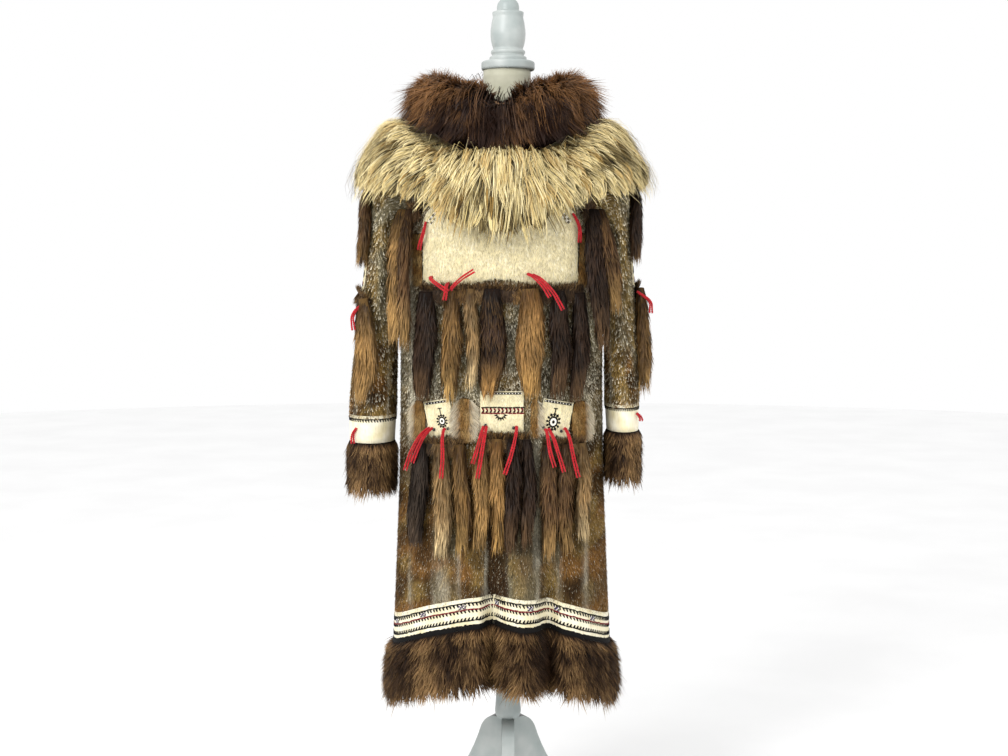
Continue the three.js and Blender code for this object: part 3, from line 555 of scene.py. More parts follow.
def fur(name, coats, look):
    """One piece of all the hairs of some coats."""
    points, faces, tints, start = [], [], [], 0
    for coat_points, coat_faces, coat_tints in coats:
        points.append(coat_points)
        faces.append(coat_faces + start)
        tints.append(coat_tints)
        start += len(coat_points)
    return build(name, np.concatenate(points) + PARKA, [np.concatenate(faces)], look,
                 np.concatenate(tints))


def haired(name, roughness, gloss=0.12):
    """Hair whose colour runs from root to tip as it was laid down with each hair."""
    made, tree, shader = surface(name, "#6b4e30", roughness, {"Specular IOR Level": gloss})
    tint = node(tree, "Attribute", attribute_name="tint").outputs["Color"]
    shade = node(tree, "MapRange", {"Value": noise(tree, 9, detail=2.0), "From Min": 0.3,
                                    "From Max": 0.7, "To Min": 0.86, "To Max": 1.12})
    scaled = node(tree, "VectorMath", {0: tint, 1: (1, 1, 1)}, operation="MULTIPLY")
    spread = node(tree, "CombineXYZ", {"X": shade.outputs["Result"], "Y": shade.outputs["Result"],
                                       "Z": shade.outputs["Result"]})
    tree.links.new(spread.outputs["Vector"], scaled.inputs[1])
    tree.links.new(scaled.outputs["Vector"], shader.inputs["Base Color"])
    return made


def tinted(name, colour, roughness, finish):
    """A material in the colours that are laid down with each point."""
    made, tree, shader = surface(name, colour, roughness, finish)
    tint = node(tree, "Attribute", attribute_name="tint").outputs["Color"]
    tree.links.new(tint, shader.inputs["Base Color"])
    return made, tree, shader


def underfur(name, depth=1.2):
    """The dense wool at the skin, which shows between the hairs."""
    made, tree, shader = tinted(name, "#4a3623", 0.95, {"Specular IOR Level": 0.15})
    bumped(tree, shader, noise(tree, 1.6, (1, 1, 0.3), 4.0), depth)
    return made


def waves(x, z, seed, size):
    """A smooth random field from -1 to 1 whose patches have about that size."""
    rng = np.random.default_rng(seed)
    total = 0.0
    for _ in range(7):
        angle, phase = rng.uniform(0, 2 * np.pi, 2)
        scale = size * rng.uniform(0.6, 1.6)
        total = total + np.sin((x * np.cos(angle) + z * np.sin(angle)) * 2 * np.pi / scale + phase)
    return np.clip(total / 3.2, -1, 1)


def mixed(first, second, share):
    """Colours part of the way from the first to the second."""
    return first + (second - first) * np.clip(share, 0, 1)[..., None]


def eased(value):
    """A value held between 0 and 1, with a soft start and end."""
    value = np.clip(value, 0, 1)
    return value * value * (3 - 2 * value)


GREY, BROWN, RUST = linear("#938869"), linear("#664a26"), linear("#946a38")
UMBER, CREAM, DARK = linear("#2e2013"), linear("#f3ead0"), linear("#100c08")
GOLDEN = linear("#a3864c")


def pelt_colour(x, z, seams, seed, brown_from=930, brown_to=700, tones=None,
                golden_share=0.0, pale_edges=()):
    """Colour of skins sewn side by side: grizzled backs, browner low down, pale belly edges, and
    painted shade down a fold's valley.
    """
    rng = np.random.default_rng(seed)
    seams = np.asarray(seams, float)
    column = np.clip(np.searchsorted(seams, x) - 1, 0, len(seams) - 2)
    share = (x - seams[column]) / (seams[column + 1] - seams[column])
    length = rng.uniform(170, 230, len(seams))[column]
    start = rng.uniform(0, 200, len(seams))[column]
    row = np.floor((z + start) / length).astype(int)
    pick = rng.random((len(seams), 64))[column, row % 64]
    ochre = rng.random((len(seams), 64))[column, row % 64]
    down = eased((brown_from - z) / (brown_from - brown_to))
    back = 1 - np.abs(2 * share - 1)
    brown = 0.1 + 0.85 * down + 0.5 * (pick - 0.5) + 0.3 * waves(x, z, seed + 1, 100)
    brown = brown + 0.25 * (back - 0.4)
    of_column = np.asarray(tones)[column] if tones else 0 * down
    brown = brown + of_column * (0.35 + 0.65 * down)
    colour = mixed(GREY, BROWN, brown)
    rusty = 1.1 * waves(x, z, seed + 2, 120) + 0.9 * (ochre - 0.35) + 0.35 * down
    rusty = rusty * eased(brown)
    colour = mixed(colour, RUST, rusty)
    golden = np.clip(waves(x, z, seed + 6, 90) + golden_share, 0, 0.75)
    colour = mixed(colour, GOLDEN, golden)
    shade = np.clip(1.1 * waves(x, z, seed + 3, 66) + 0.4 * (pick - 0.5) - 0.2, 0, 0.6)
    # Painted shade: a column with a tone over 0.8 lies in the front's fold valley and turns umber low
    # down.
    shade = np.maximum(shade, (of_column > 0.8) * 0.85 * down)
    colour = mixed(colour, UMBER, shade) * (1.08 + 0.1 * down[..., None])
    side = np.where(share > 0.5, pick, ochre) ** 2
    here = np.clip(0.5 + 1.1 * waves(x * 0.4, z, seed + 4, 300), 0, 1)
    pale = eased((1 - back - 0.62) / 0.3) * (0.1 + 1.1 * side) * here * (1 - 0.3 * down)
    pale = np.clip(pale, 0, 1) * 0.8
    for at_x, low_z, high_z, half, strength in pale_edges:
        near = eased(1.5 - np.abs(x - at_x) / half)
        near = near * strength * (0.75 + 0.4 * waves(x, z, seed + 5, 80))
        pale = np.maximum(pale, near * eased((z - low_z) / 60) * eased((high_z - z) / 60))
    return mixed(colour, CREAM * 0.72, pale), pale


def ticked(colour, pale, rng):
    """Root and tip of each hair, plain over a darker root, some with dark tips."""
    count = len(colour)
    root = colour * rng.uniform(0.25, 0.6, (count, 1))
    tip = colour * rng.uniform(0.6, 1.4, (count, 1))
    dark = rng.random(count) > 0.68 + 0.27 * pale
    tip = np.where(dark[:, None], DARK + 0.1 * colour, tip)
    return [mixed(root, CREAM * 0.6, pale * 0.7), tip]


def pelt_coats(grid, count, colour_of, lean_of, rng, shows, calm=0.0):
    """Dense short hair, and over it the single pale-tipped hairs that fleck the pelt."""
    coats = []
    for share, length, width, flecks in ((0.66, 11, 1.9, False), (0.34, 9.5, 1.9, True)):
        roots = scatter(grid, int(count * share), rng)
        roots = kept(roots, shows(roots["at"][:, 0], roots["at"][:, 2]))
        colour, pale = colour_of(roots)
        if flecks:
            low = eased((960 - roots["at"][:, 2:]) / 240)
            bright = CREAM * rng.uniform(0.35, 1.25, (len(colour), 1)) * (1 - 0.3 * low)
            plain = rng.random((len(colour), 1)) < 0.15 + 0.5 * low + calm
            width = width * (1 - 0.45 * low[:, 0])
            length = length * (1 - 0.3 * low[:, 0])
            bright = mixed(bright, colour * 1.6, rng.random(len(colour)) * 0.6)
            ends = [colour * 0.3, np.where(plain, colour * (0.75 + calm), bright)]
        else:
            ends = ticked(colour, pale, rng)
        coats.append(blades(roots, length, width, 0.3, 0.14, ends, rng, lean=lean_of(roots),
                            blunt=flecks))
    return coats


PLATES = {  # place across and up, half width, half height and tilt in degrees
    "waist_plate_left": (-118, 882, 25, 33, 11),
    "waist_plate_centre": (1, 896, 41, 38, 0),
    "waist_plate_right": (103, 882, 29, 33, -11),
}
CHEST = {"x": -2, "z": 1212, "half_width": 147}


def chest_high(across):
    """The chest plate's arched upper edge, above its middle."""
    return 32 + 72 * (1 - np.abs(across * 0.985) ** 2.4) ** (1 / 2.4)


def chest_low(across):
    """Its lower edge, with round corners and a slight rise in the centre."""
    return -38 - 36 * (1 - np.abs(across * 0.985) ** 7) ** (1 / 7) + 12 * bump_shape(across / 0.5)


def under_plates(x, z):
    """Whether a root on the front lies under a calfskin plate, its very edge left out."""
    margin = -1.5
    across = (x - CHEST["x"]) / (CHEST["half_width"] + margin)
    inside = np.abs(across) < 1
    safe = np.clip(across, -1, 1)
    up = z - CHEST["z"]
    covered = inside & (up < chest_high(safe) + margin) & (up > chest_low(safe) - margin)
    for centre_x, centre_z, half_width, half_height, tilt in PLATES.values():
        turn = math.radians(tilt)
        right = (x - centre_x) * math.cos(turn) + (z - centre_z) * math.sin(turn)
        above = (z - centre_z) * math.cos(turn) - (x - centre_x) * math.sin(turn)
        covered |= (np.abs(right) < half_width + margin) & (np.abs(above) < half_height + margin)
    return covered


SEAMS = {
    FRONT: [-225, -176, -131, -84, -34, 14, 71, 112, 160, 225],
    BACK: [-225, -168, -120, -62, -8, 44, 101, 150, 225],
}
TONES = {  # how much browner each column of skins is than its neighbours; a tone over 0.8 is painted shade
    # The front's fifth column, 1.0, lies in the deep fold valley and is painted dark as its shade.
    FRONT: [0.2, 0.3, -0.3, 0.4, 1.0, -0.6, -0.4, 0.4, 0.1, 0],
    BACK: [0.1, 0.3, -0.2, 0.2, -0.3, 0.2, 0.3, -0.1, 0],
}
PALE_EDGES = {  # pale belly fur: place across, lowest and highest place, half width, strength
    FRONT: [(68, 470, 600, 3.5, 1.1), (67, 560, 880, 7, 0.5), (-112, 470, 640, 12, 0.45),
            (-165, 800, 1130, 9, 0.5)],
    BACK: [(-8, 500, 900, 7, 0.5)],
}
squirrel_hair = haired("squirrel_hair", 0.7)
squirrel_wool = underfur("squirrel_underfur")
COLLAR_COVER = {FRONT: 1330, BACK: 1350}   # no hair shows above this height
for facing, name, flat, count in [(FRONT, "front", (0.56, 1.08), 150000),
                                  (BACK, "back", (0.50, 1.08), 66000)]:
    runs = np.concatenate([np.linspace(0, 200, 16), np.linspace(206, HEM_BAND[0], 68)])
    outer = panel(runs, facing, np.full(len(runs), -2.6))
    inner = panel(runs, facing, np.full(len(runs), -4.4))

    def colour_of(roots):
        return pelt_colour(roots["at"][..., 0], roots["at"][..., 2], SEAMS[facing], 11 + facing,
                           tones=TONES[facing], pale_edges=PALE_EDGES[facing])

    skin_colour, _ = colour_of({"at": outer})
    skin = shell(f"body_{name}_skins", outer, inner, squirrel_wool,
                 [f"body_{name}"], skin_colour * 0.5)
    rng = np.random.default_rng(30 + facing)

    def lean_of(roots):
        return 0.28 * waves(roots["at"][:, 0], roots["at"][:, 2], 50 + facing, 60)

    def shows(x, z):
        clear = z < COLLAR_COVER[facing]
        return clear & ~under_plates(x, z) if facing == FRONT else clear

    coats = pelt_coats(faced(outer), count, colour_of, lean_of, rng, shows)
    pile = fur(f"body_{name}_fur", coats, squirrel_hair)

# ---------------------------------------------------------------- sleeves
# A sleeve of squirrel skins hangs from each armhole, its seams running to the wrist.
# It is sewn round the armhole, which lies on the body under the collar.

# Each row: place along the sleeve, its under edge across and up, its outer edge across
# and up, and half its depth.
SLEEVE = np.array([
    [0, 210, 1187, 218, 1431, 76],
    [1, 212, 1178, 238, 1404, 78],
    [2, 212, 1165, 252, 1345, 79],
    [3, 211, 1146, 259, 1270, 78],
    [4, 210, 1112, 267, 1180, 76],
    [5, 209, 1056, 280, 1085, 73],
    [6, 209, 985, 294, 990, 71],
    [7, 210, 930, 301, 930, 70],
    [8, 211, 878, 304, 878, 69],
    [9, 214, 824, 304, 824, 68],
    [10, 218, 726, 301, 726, 67],
], float)
SLEEVE_SIDES = {"left": (-1, 0, 0), "right": (1, 30, 22)}   # sign, tuck and lift at the wrist
WRIST = 8                         # the cuff's band starts here, and its fur one place on


def sleeve(side, ring, turn, offset=0.0):
    """A point of a sleeve. Turn 0 is its outer edge, pi / 2 its front, pi its under edge."""
    sign, tuck, lift = SLEEVE_SIDES[side]
    ring, turn = np.broadcast_arrays(np.asarray(ring, float), np.asarray(turn, float))
    row = section(SLEEVE, ring)
    lower = np.clip((ring - 2) / (WRIST - 2), 0, 1)
    under = np.stack([row[..., 0] - 0.12 * tuck * lower, row[..., 1] + lift * lower], axis=-1)
    outer = np.stack([row[..., 2] - tuck * lower, row[..., 3] + lift * lower], axis=-1)
    half = (outer - under) / 2
    width = np.linalg.norm(half, axis=-1)
    share = ((width + offset) / width * np.cos(turn))[..., None]
    flat = under + half * (1 + share)
    y = -(row[..., 4] + offset) * np.sin(turn)
    return np.stack([sign * flat[..., 0], y, flat[..., 1]], axis=-1)


def off_sleeve(side, ring, turn, offset):
    """A point square off the sleeve's outer face."""
    here = sleeve(side, ring, turn)
    round_it = sleeve(side, ring, turn + 0.05) - sleeve(side, ring, turn - 0.05)
    down = sleeve(side, ring + 0.05, turn) - sleeve(side, ring - 0.05, turn)
    out = unit(np.cross(down, round_it))
    out = np.where(out[..., :1] * SLEEVE_SIDES[side][0] < 0, -out, out)
    return here + out * np.asarray(offset)[..., None]


def find(axes, wanted, run, angle):
    """The run and angle at which the body has two wanted coordinates."""
    step = 1e-3
    for _ in range(12):
        here = body(run, angle)[..., axes]
        by_run = (body(run + step, angle)[..., axes] - here) / step
        by_angle = (body(run, angle + step)[..., axes] - here) / step
        miss = wanted - here
        scale = by_run[..., 0] * by_angle[..., 1] - by_angle[..., 0] * by_run[..., 1]
        scale = np.where(np.abs(scale) < 1e-9, 1e-9, scale)
        more_run = (miss[..., 0] * by_angle[..., 1] - by_angle[..., 0] * miss[..., 1]) / scale
        more_angle = (by_run[..., 0] * miss[..., 1] - miss[..., 0] * by_run[..., 1]) / scale
        run = np.clip(run + np.clip(more_run, -80, 80), 2, 1230)
        angle = angle + np.clip(more_angle, -0.3, 0.3)
    return run, angle


def armhole_ring(side, turn, reach):
    """Points on the body round the armhole, that far outside its edge."""
    y = -(ARMHOLE["half_depth"] + reach) * np.sin(turn)
    z = ARMHOLE["z"] + (ARMHOLE["half_height"] + reach) * np.cos(turn)
    run, angle = find([1, 2], np.stack([y, z], axis=-1), 1550 - z, np.arcsin(y / 140))
    point = body(run, angle, 0.8)
    point[..., 0] *= SLEEVE_SIDES[side][0]
    return point


def sleeve_creases(side, ring, turn):
    """Soft uneven troughs of the hanging sleeve, in millimetres inwards."""
    total = 0.0
    for centre, half_width, depth, top, foot in [
            [1.2, 0.30, 3.2, 2.2, 6.6], [1.95, 0.24, 2.6, 3.6, 7.9], [-1.1, 0.33, 3.0, 1.6, 5.9],
            [-1.9, 0.28, 2.4, 3.9, 7.6], [0.35, 0.22, 1.8, 4.8, 7.9], [2.6, 0.26, 2.2, 2.6, 5.2]]:
        drift = centre * (1.0 if side == "left" else 0.9) + 0.16 * np.sin(ring * 1.3 + centre)
        length = bump_shape((ring - (top + foot) / 2) / ((top + 1.2 - foot) / 2))
        total = total - depth * length * bump_shape((turn - drift) / half_width)
    return total


def sleeve_grid(side, offset, reach):
    """A sleeve from its seam on the body to the wrist, as a grid round it."""
    turn = all_round(56)[None, :]
    ring = np.linspace(0, WRIST - 0.006, 58)[:, None]
    signed = np.where(turn > np.pi, turn - 2 * np.pi, turn)
    points = sleeve(side, ring, turn, offset + sleeve_creases(side, ring, signed))
    top = armhole_ring(side, turn[0], reach)[None]
    bridge = [top + (points[:1] - top) * share for share in (0.33, 0.66)]
    return np.concatenate([top, *bridge, points])


SLEEVE_RADIUS = 62                # mean, for distances round a sleeve from its outer edge
SLEEVE_SEAMS = [-200, -150, -102, -58, -6, 52, 97, 148, 200]
for side, seed in (("left", 70), ("right", 75)):
    outer = sleeve_grid(side, -1.6, 3.4)
    inner = sleeve_grid(side, -3.4, 1.6)
    rng = np.random.default_rng(60 if side == "left" else 61)

    def round_sleeve(roots):
        signed = np.where(roots["turn"] > np.pi, roots["turn"] - 2 * np.pi, roots["turn"])
        return signed * SLEEVE_RADIUS + 0 * roots["at"][..., 2]

    def colour_of(roots):
        return pelt_colour(round_sleeve(roots), roots["at"][..., 2], SLEEVE_SEAMS, seed, 1180, 900,
                           golden_share=0.35)

    skin_colour, _ = colour_of({"at": outer, "turn": all_round(outer.shape[1])[None, :]})
    skin = shell(f"sleeve_{side}_skins", outer, inner, squirrel_wool,
                 [f"sleeve_{side}"], skin_colour * 0.5, wrap=True)

    def lean_of(roots):
        return 0.25 * waves(round_sleeve(roots), roots["at"][:, 2], seed + 5, 60)

    coats = pelt_coats(faced(outer, wrap=True), 40000, colour_of, lean_of, rng,
                       lambda x, z: z < 1425, 0.35)
    pile = fur(f"sleeve_{side}_fur", coats, squirrel_hair)

# ---------------------------------------------------------------- hem and cuff bands
# White calfskin bands sewn on with lines of stitched teeth in black and dark red, and
# a few clusters of glass beads. The hair of the hide is short and lies down.


def calfskin(name, flecked):
    """White calf hide with its short hair, a little cream, with finer darker flecks."""
    made, tree, shader = surface(name, "#e6dcc0", 0.75, {"Sheen Weight": 0.2})
    ground = blended(tree, noise(tree, 26), (*linear("#e4d8ae"), 1), "#f6efd6")
    streaks = noise(tree, 4, (1, 1, 0.14), 2.0)
    colour = blended(tree, streaks, ground, "#8d7f66", 0.52, 0.72, flecked)
    tree.links.new(colour, shader.inputs["Base Color"])
    bumped(tree, shader, noise(tree, 1.5, (1, 1, 0.2)), 0.5)
    return made


def threadwork():
    """Stitches of sewing thread, in the colours of their tints."""
    made, tree, shader = tinted("sewing_thread", "#231a17", 0.8, {"Specular IOR Level": 0.2})
    bumped(tree, shader, noise(tree, 0.7), 0.3)
    return made


def glass():
    """Opaque glass seed beads, in the colours of their tints."""
    return tinted("seed_bead_glass", "#d8d2c8", 0.22, {"Coat Weight": 0.4})[0]


BLACK, WINE = linear("#0b0909"), linear("#6d0f1c")
WHITE, PURPLE = linear("#f0ece0"), linear("#54407a")


class Needlework:
    """Raised stitches and beads gathered from many spots into one piece."""

    def __init__(self):
        self.points, self.faces, self.tints, self.start = [], [], [], 0

    def take(self, points, faces, tints):
        """Adds a batch of stitches or beads."""
        self.points.append(points)
        self.faces.append(faces + self.start)
        self.tints.append(np.broadcast_to(tints, points.shape))
        self.start += len(points)

    def stitches(self, place, outlines, colour, height=1.1):
        """Raised pads on a surface, from the four corners of each, given across and up."""
        outlines = np.asarray(outlines, float)
        centre = outlines.mean(axis=1, keepdims=True)
        foot = place(outlines[..., 0], outlines[..., 1], 0.05)
        inset = centre + (outlines - centre) * 0.86
        top = place(inset[..., 0], inset[..., 1], height)
        points = np.concatenate([foot, top], axis=1)
        corner = np.arange(4)
        sides = np.stack([corner, (corner + 1) % 4, (corner + 1) % 4 + 4, corner + 4], axis=-1)
        pad = np.concatenate([sides, [[4, 5, 6, 7]]])
        first = (np.arange(len(outlines)) * 8)[:, None, None]
        faces = (first + pad).reshape(-1, 4)
        self.take(points.reshape(-1, 3), faces, colour)

    def beads(self, place, spots, colours, radius=1.35):
        """Round seed beads at spots given across and up."""
        spots = np.asarray(spots, float)
        centre = place(spots[:, 0], spots[:, 1], radius * 0.6)
        turn = all_round(8)
        ball = np.concatenate([np.column_stack([
            np.cos(turn) * math.sqrt(1 - h * h), np.sin(turn) * math.sqrt(1 - h * h),
            np.full(8, h)]) for h in (-0.9, -0.45, 0.45, 0.9)]) * radius
        ends = np.stack([np.arange(8)[::-1], 24 + np.arange(8)])
        caps = np.concatenate([ends[:, [0, 1, 2, 3]], ends[:, [3, 4, 5, 6]],
                               ends[:, [0, 3, 6, 7]]])
        squares = np.concatenate([grid_faces(4, 8, wrap=True), caps])
        points = centre[:, None, :] + ball[None]
        first = (np.arange(len(spots)) * 32)[:, None, None]
        tints = np.broadcast_to(np.asarray(colours, float), (len(spots), 3))
        self.take(points.reshape(-1, 3), (first + squares).reshape(-1, 4),
                  np.repeat(tints, 32, axis=0))

    def sewn(self, name, look, slot, smooth):
        """Makes the piece of all that was gathered."""
        return build(name, np.concatenate(self.points) + PARKA, [np.concatenate(self.faces)],
                     look, np.concatenate(self.tints), smooth=smooth)


def hem_place(facing):
    """Places on the hem by distance along it from its middle and down from the seam."""
    runs = np.linspace(HEM_BAND[0], HEM_BAND[1], 13)
    columns = panel(runs, facing, np.zeros(13), 481)
    lengths = np.linalg.norm(np.diff(columns, axis=1), axis=2)
    along = np.concatenate([np.zeros((13, 1)), np.cumsum(lengths, axis=1)], axis=1)
    along -= along[:, -1:] / 2
    out = faced(columns)["out"]

    def place(across, down, offset):
        row = np.clip(np.asarray(down, float) / 60 * 12, 0, 12)
        low = np.minimum(row.astype(int), 11)
        mix = (row - low)[..., None]
        middle = along[6]
        column = np.interp(across, middle, np.arange(481))
        left = np.minimum(column.astype(int), 479)
        side = (column - left)[..., None]
        total = 0.0
        for field, weight in ((columns, 1.0), (out, offset)):
            upper = field[low, left] * (1 - side) + field[low, left + 1] * side
            lower = field[low + 1, left] * (1 - side) + field[low + 1, left + 1] * side
            total = total + (upper * (1 - mix) + lower * mix) * weight
        return total

    return place, along[6, -1]


def cuff_place(side):
    """Places on a cuff's band by distance round from its outer edge and down."""
    def place(across, down, offset):
        return sleeve(side, WRIST + np.asarray(down) / 54, np.asarray(across) / 60, offset)
    return place


def toothed_line(work, place, reach, down, tooth_down, colour, tooth_colour, rng):
    """A stitched line with a row of small leaning teeth under or over it."""
    step = 7.4
    starts = np.arange(-reach, reach - 1, step)
    starts = starts + rng.normal(0, 0.25, len(starts))
    wobble = rng.normal(0, 0.3, len(starts))
    line = [[[s, down + w], [s + 7.2, down + w], [s + 7.2, down + 2.6 + w], [s, down + 2.6 + w]]
            for s, w in zip(starts, wobble)]
    work.stitches(place, line, colour)
    near = down if tooth_down < 0 else down + 2.6
    teeth = [[[s + 0.2, near], [s + 4.6, near], [s + 6.0, near + tooth_down],
              [s + 3.6, near + tooth_down]] for s in starts]
    work.stitches(place, teeth, tooth_colour)


calf_band = calfskin("calfskin_band", 0.25)
thread, bead_glass = threadwork(), glass()
for facing, where in HALVES:
    runs = np.linspace(HEM_BAND[0] + 0.3, HEM_BAND[1], 9)
    band = shell(f"hem_band_{where}_hide", panel(runs, facing, np.full(9, 0.0), 97),
                 panel(runs, facing, np.full(9, -2.4), 97), calf_band,
                 [f"hem_band_{where}"])
    place, reach = hem_place(facing)
    rng = np.random.default_rng(80 + facing)
    stitched, beaded = Needlework(), Needlework()
    reach -= 3
    toothed_line(stitched, place, reach, 8, 5.5, BLACK, BLACK, rng)
    toothed_line(stitched, place, reach, 21, 5, WINE, BLACK, rng)
    toothed_line(stitched, place, reach, 42, -5, BLACK, BLACK, rng)
    cells = np.arange(-reach, reach - 4, 4.2)
    ragged = rng.normal(0, 0.5, (len(cells), 2))
    stitched.stitches(place, [[[s, 50.5 + w[0]], [s + 4.4, 50.5 + w[0]], [s + 4.4, 61 + w[1]],
                               [s, 61 + w[1]]] for s, w in zip(cells, ragged)], BLACK, 1.4)
    for middle in np.arange(-reach + 45, reach - 30, 88):
        spots, colours = [], []
        for column in range(5):
            for row in range(3):
                spots.append([middle + column * 2.9, 13.6 + row * 2.7])
                colours.append([PURPLE, WHITE, BLACK][(column + row) % 3])
        beaded.beads(place, spots, colours)
    work = [stitched.sewn(f"hem_stitches_{where}", thread, "calfskin", False),
            beaded.sewn(f"hem_beads_{where}", bead_glass, "calfskin", True)]

for number, side in enumerate(("left", "right")):
    turn = all_round(72)[None, :]
    ring = np.linspace(WRIST, WRIST + 0.994, 7)[:, None]
    band = shell(f"cuff_band_{side}_hide", sleeve(side, ring, turn, 0.0),
                 sleeve(side, ring, turn, -2.2), calf_band,
                 [f"cuff_band_{side}"], wrap=True)
    place = cuff_place(side)
    rng = np.random.default_rng(90 + number)
    stitched = Needlework()
    toothed_line(stitched, place, 186, 6, 5, BLACK, BLACK, rng)
    work = stitched.sewn(f"cuff_stitches_{side}", thread, "calfskin", False)

# ---------------------------------------------------------------- fur borders
# Strips of brown fur round the hem and the cuffs, sewn to the bands' lower edges. They
# bulge, with golden tips along the seam and darker, longer hair hanging below.

# Each row: how far down the border, and how far out and in its section stands.
BORDER = np.array([[0, 3, 5], [0.1, 13, 7], [0.32, 21, 9], [0.68, 23, 9], [0.9, 17, 7], [1, 8, 3]],
                  float)
CUFF_BORDER = np.array([[0, 1, -4], [0.14, 5, -6], [0.5, 8, -7], [0.85, 7, -7], [1, 3, -4]], float)
border_hair = haired("brown_fur_hair", 0.6)
border_wool = underfur("brown_fur_wool", 2.0)
BORDER_TONES = [linear(colour) for colour in ("#1c120b", "#3a2616", "#7e5f3f", "#b08d5c")]


def border_coat(grid, count, length, lift, rng, brighter):
    """Hair of a border: golden by the seam, dark below, in loose locks."""
    roots = scatter(grid, count, rng)
    at = roots["row"]
    streak = waves(roots["column"] * 900, at * 60, int(rng.integers(1000)), 26)
    patch = waves(roots["column"] * 900, at * 60, int(rng.integers(1000)), 140)
    golden = np.clip(1 - at / 0.2, 0, 1) * 0.7 + 0.4 * np.clip((at - 0.7) / 0.3, 0, 1)
    tone = golden + 0.45 * streak + 0.75 * patch - 0.05 + rng.normal(0, 0.22, len(at)) + brighter
    tip = mixed(BORDER_TONES[1], BORDER_TONES[3], tone)
    middle = mixed(BORDER_TONES[0], BORDER_TONES[2], 0.25 + 0.6 * tone)
    root = BORDER_TONES[0] * rng.uniform(0.4, 1.0, (len(at), 1))
    reach = length * (0.8 + 0.4 * at) * np.where(rng.random(len(at)) < 0.07, 1.5, 1.0)
    lean = 0.35 * streak
    return blades(roots, reach, 2.2, lift, 0.22, [root, middle, tip], rng, 2, sag=2.0, lean=lean)


for facing, where in HALVES:
    at = np.linspace(0, 1, 15)
    runs = HEM_FUR[0] + 0.3 + at * (HEM_FUR[1] - HEM_FUR[0] - 9)
    outside = np.interp(at, BORDER[:, 0], BORDER[:, 1]) * 0.45
    inside = -np.interp(at, BORDER[:, 0], BORDER[:, 2]) * 0.6
    outer, inner = panel(runs, facing, outside, 97), panel(runs, facing, inside, 97)
    shell(f"hem_fur_{where}_pelt", outer, inner, border_wool, [f"hem_fur_{where}"],
          BORDER_TONES[0] + 0 * outer)
    rng = np.random.default_rng(100 + facing)
    count = 15500 if facing == FRONT else 11000
    coat = border_coat(faced(outer), count, 24, 0.5, rng, 0.12)
    fur(f"hem_fur_{where}_hair", [coat], border_hair)

for number, side in enumerate(("left", "right")):
    at = np.linspace(0, 1, 13)[:, None]
    ring = WRIST + 1.006 + at * 0.9
    turn = all_round(60)[None, :]
    outside = np.interp(at, CUFF_BORDER[:, 0], CUFF_BORDER[:, 1]) * 0.3
    inside = np.interp(at, CUFF_BORDER[:, 0], CUFF_BORDER[:, 2])
    outer, inner = sleeve(side, ring, turn, outside), sleeve(side, ring, turn, inside)
    shell(f"cuff_fur_{side}_pelt", outer, inner, border_wool, [f"cuff_fur_{side}"],
          BORDER_TONES[0] + 0 * outer, wrap=True)
    rng = np.random.default_rng(105 + number)
    coat = border_coat(faced(outer, wrap=True), 6500, 21, 0.34, rng, 0.3)
    fur(f"cuff_fur_{side}_hair", [coat], border_hair)

# ---------------------------------------------------------------- collar of two furs
# A ruff of pale wolf fur lies over the shoulders, with long pointed locks, and a thick
# roll of dark brown fur stands round the neck above it, parted at the front.

# Each collar lies on the body between two runs. The rest of its section is a row for
# each corner: its reach and height at the sides, front and back, and its share in the
# lobes that part at the centre of the front.
DARK_SEAT = [104, 90, 45, 22, 6]
DARK_CORNERS = np.array([
    [78, 1546, 72, 1520, 74, 1545, 0.4],
    [112, 1570, 100, 1552, 100, 1572, 1],
    [150, 1572, 126, 1548, 126, 1570, 1],
    [186, 1546, 148, 1515, 146, 1540, 0.7],
    [205, 1502, 160, 1462, 158, 1492, 0.4],
    [199, 1472, 156, 1412, 152, 1450, 0.1],
], float)
WOLF_SEAT = [126, 108]
WOLF_CORNERS = np.array([
    [206, 1463, 160, 1400, 157, 1438, 0],
    [234, 1446, 174, 1378, 172, 1416, 0],
    [263, 1405, 184, 1335, 182, 1372, 0],
    [282, 1364, 185, 1286, 182, 1318, 0],
    [284, 1338, 176, 1244, 172, 1276, 0],
    [277, 1338, 150, 1243, 146, 1276, 0],
    [268, 1368, 144, 1290, 139, 1322, 0],
    [247, 1420, 138, 1336, 134, 1374, 0],
], float)


COLLAR_GAP = 1.6                  # between a collar's seat and the body


def collar_loops(seat, corners, angle):
    """Points of a collar's section, seat first, for each angle round the neck."""
    cleft = np.exp(-(np.cos(angle) / 0.2) ** 2) * (np.sin(angle) < 0)
    loop = [smooth_body(run, angle, COLLAR_GAP) for run in seat]
    for half_width, side_z, front, front_z, back, back_z, lobe in corners:
        row = np.array([half_width, front, back, side_z, front_z, back_z])
        point = oblong(np.broadcast_to(row, angle.shape + (6,)), angle)
        point[..., 1] *= 1 - 0.07 * cleft * lobe
        point[..., 2] -= 34 * cleft * lobe
        loop.append(point)
    return np.stack(loop)


def between(a, b, c, d, t):
    """A point that far from b to c, on a smooth curve through all four."""
    return 0.5 * (2 * b + (c - a) * t + (2 * a - 5 * b + 4 * c - d) * t * t
                  + (3 * b - a - 3 * c + d) * t ** 3)


def finer(loop, steps):
    """A closed loop of points, with some more on a smooth curve between each two."""
    before, after, beyond = (np.roll(loop, shift, axis=0) for shift in (1, -1, -2))
    rows = [between(before, loop, after, beyond, step / steps) for step in range(steps)]
    return np.stack(rows, axis=1).reshape(-1, *loop.shape[1:])


def clumped(roots, cell, strength, seed):
    """A pull on each hair towards the middle of its lock."""
    rng = np.random.default_rng(seed)
    at = roots["at"]
    count = max(int(len(at) / cell), 2)
    centres = at[rng.choice(len(at), count, replace=False)]
    nearest = np.empty(len(at), int)
    for start in range(0, len(at), 2000):
        part = at[start:start + 2000]
        gap = ((part[:, None, :] - centres[None]) ** 2).sum(axis=2)
        nearest[start:start + 2000] = gap.argmin(axis=1)
    return (centres[nearest] - at) * strength, nearest


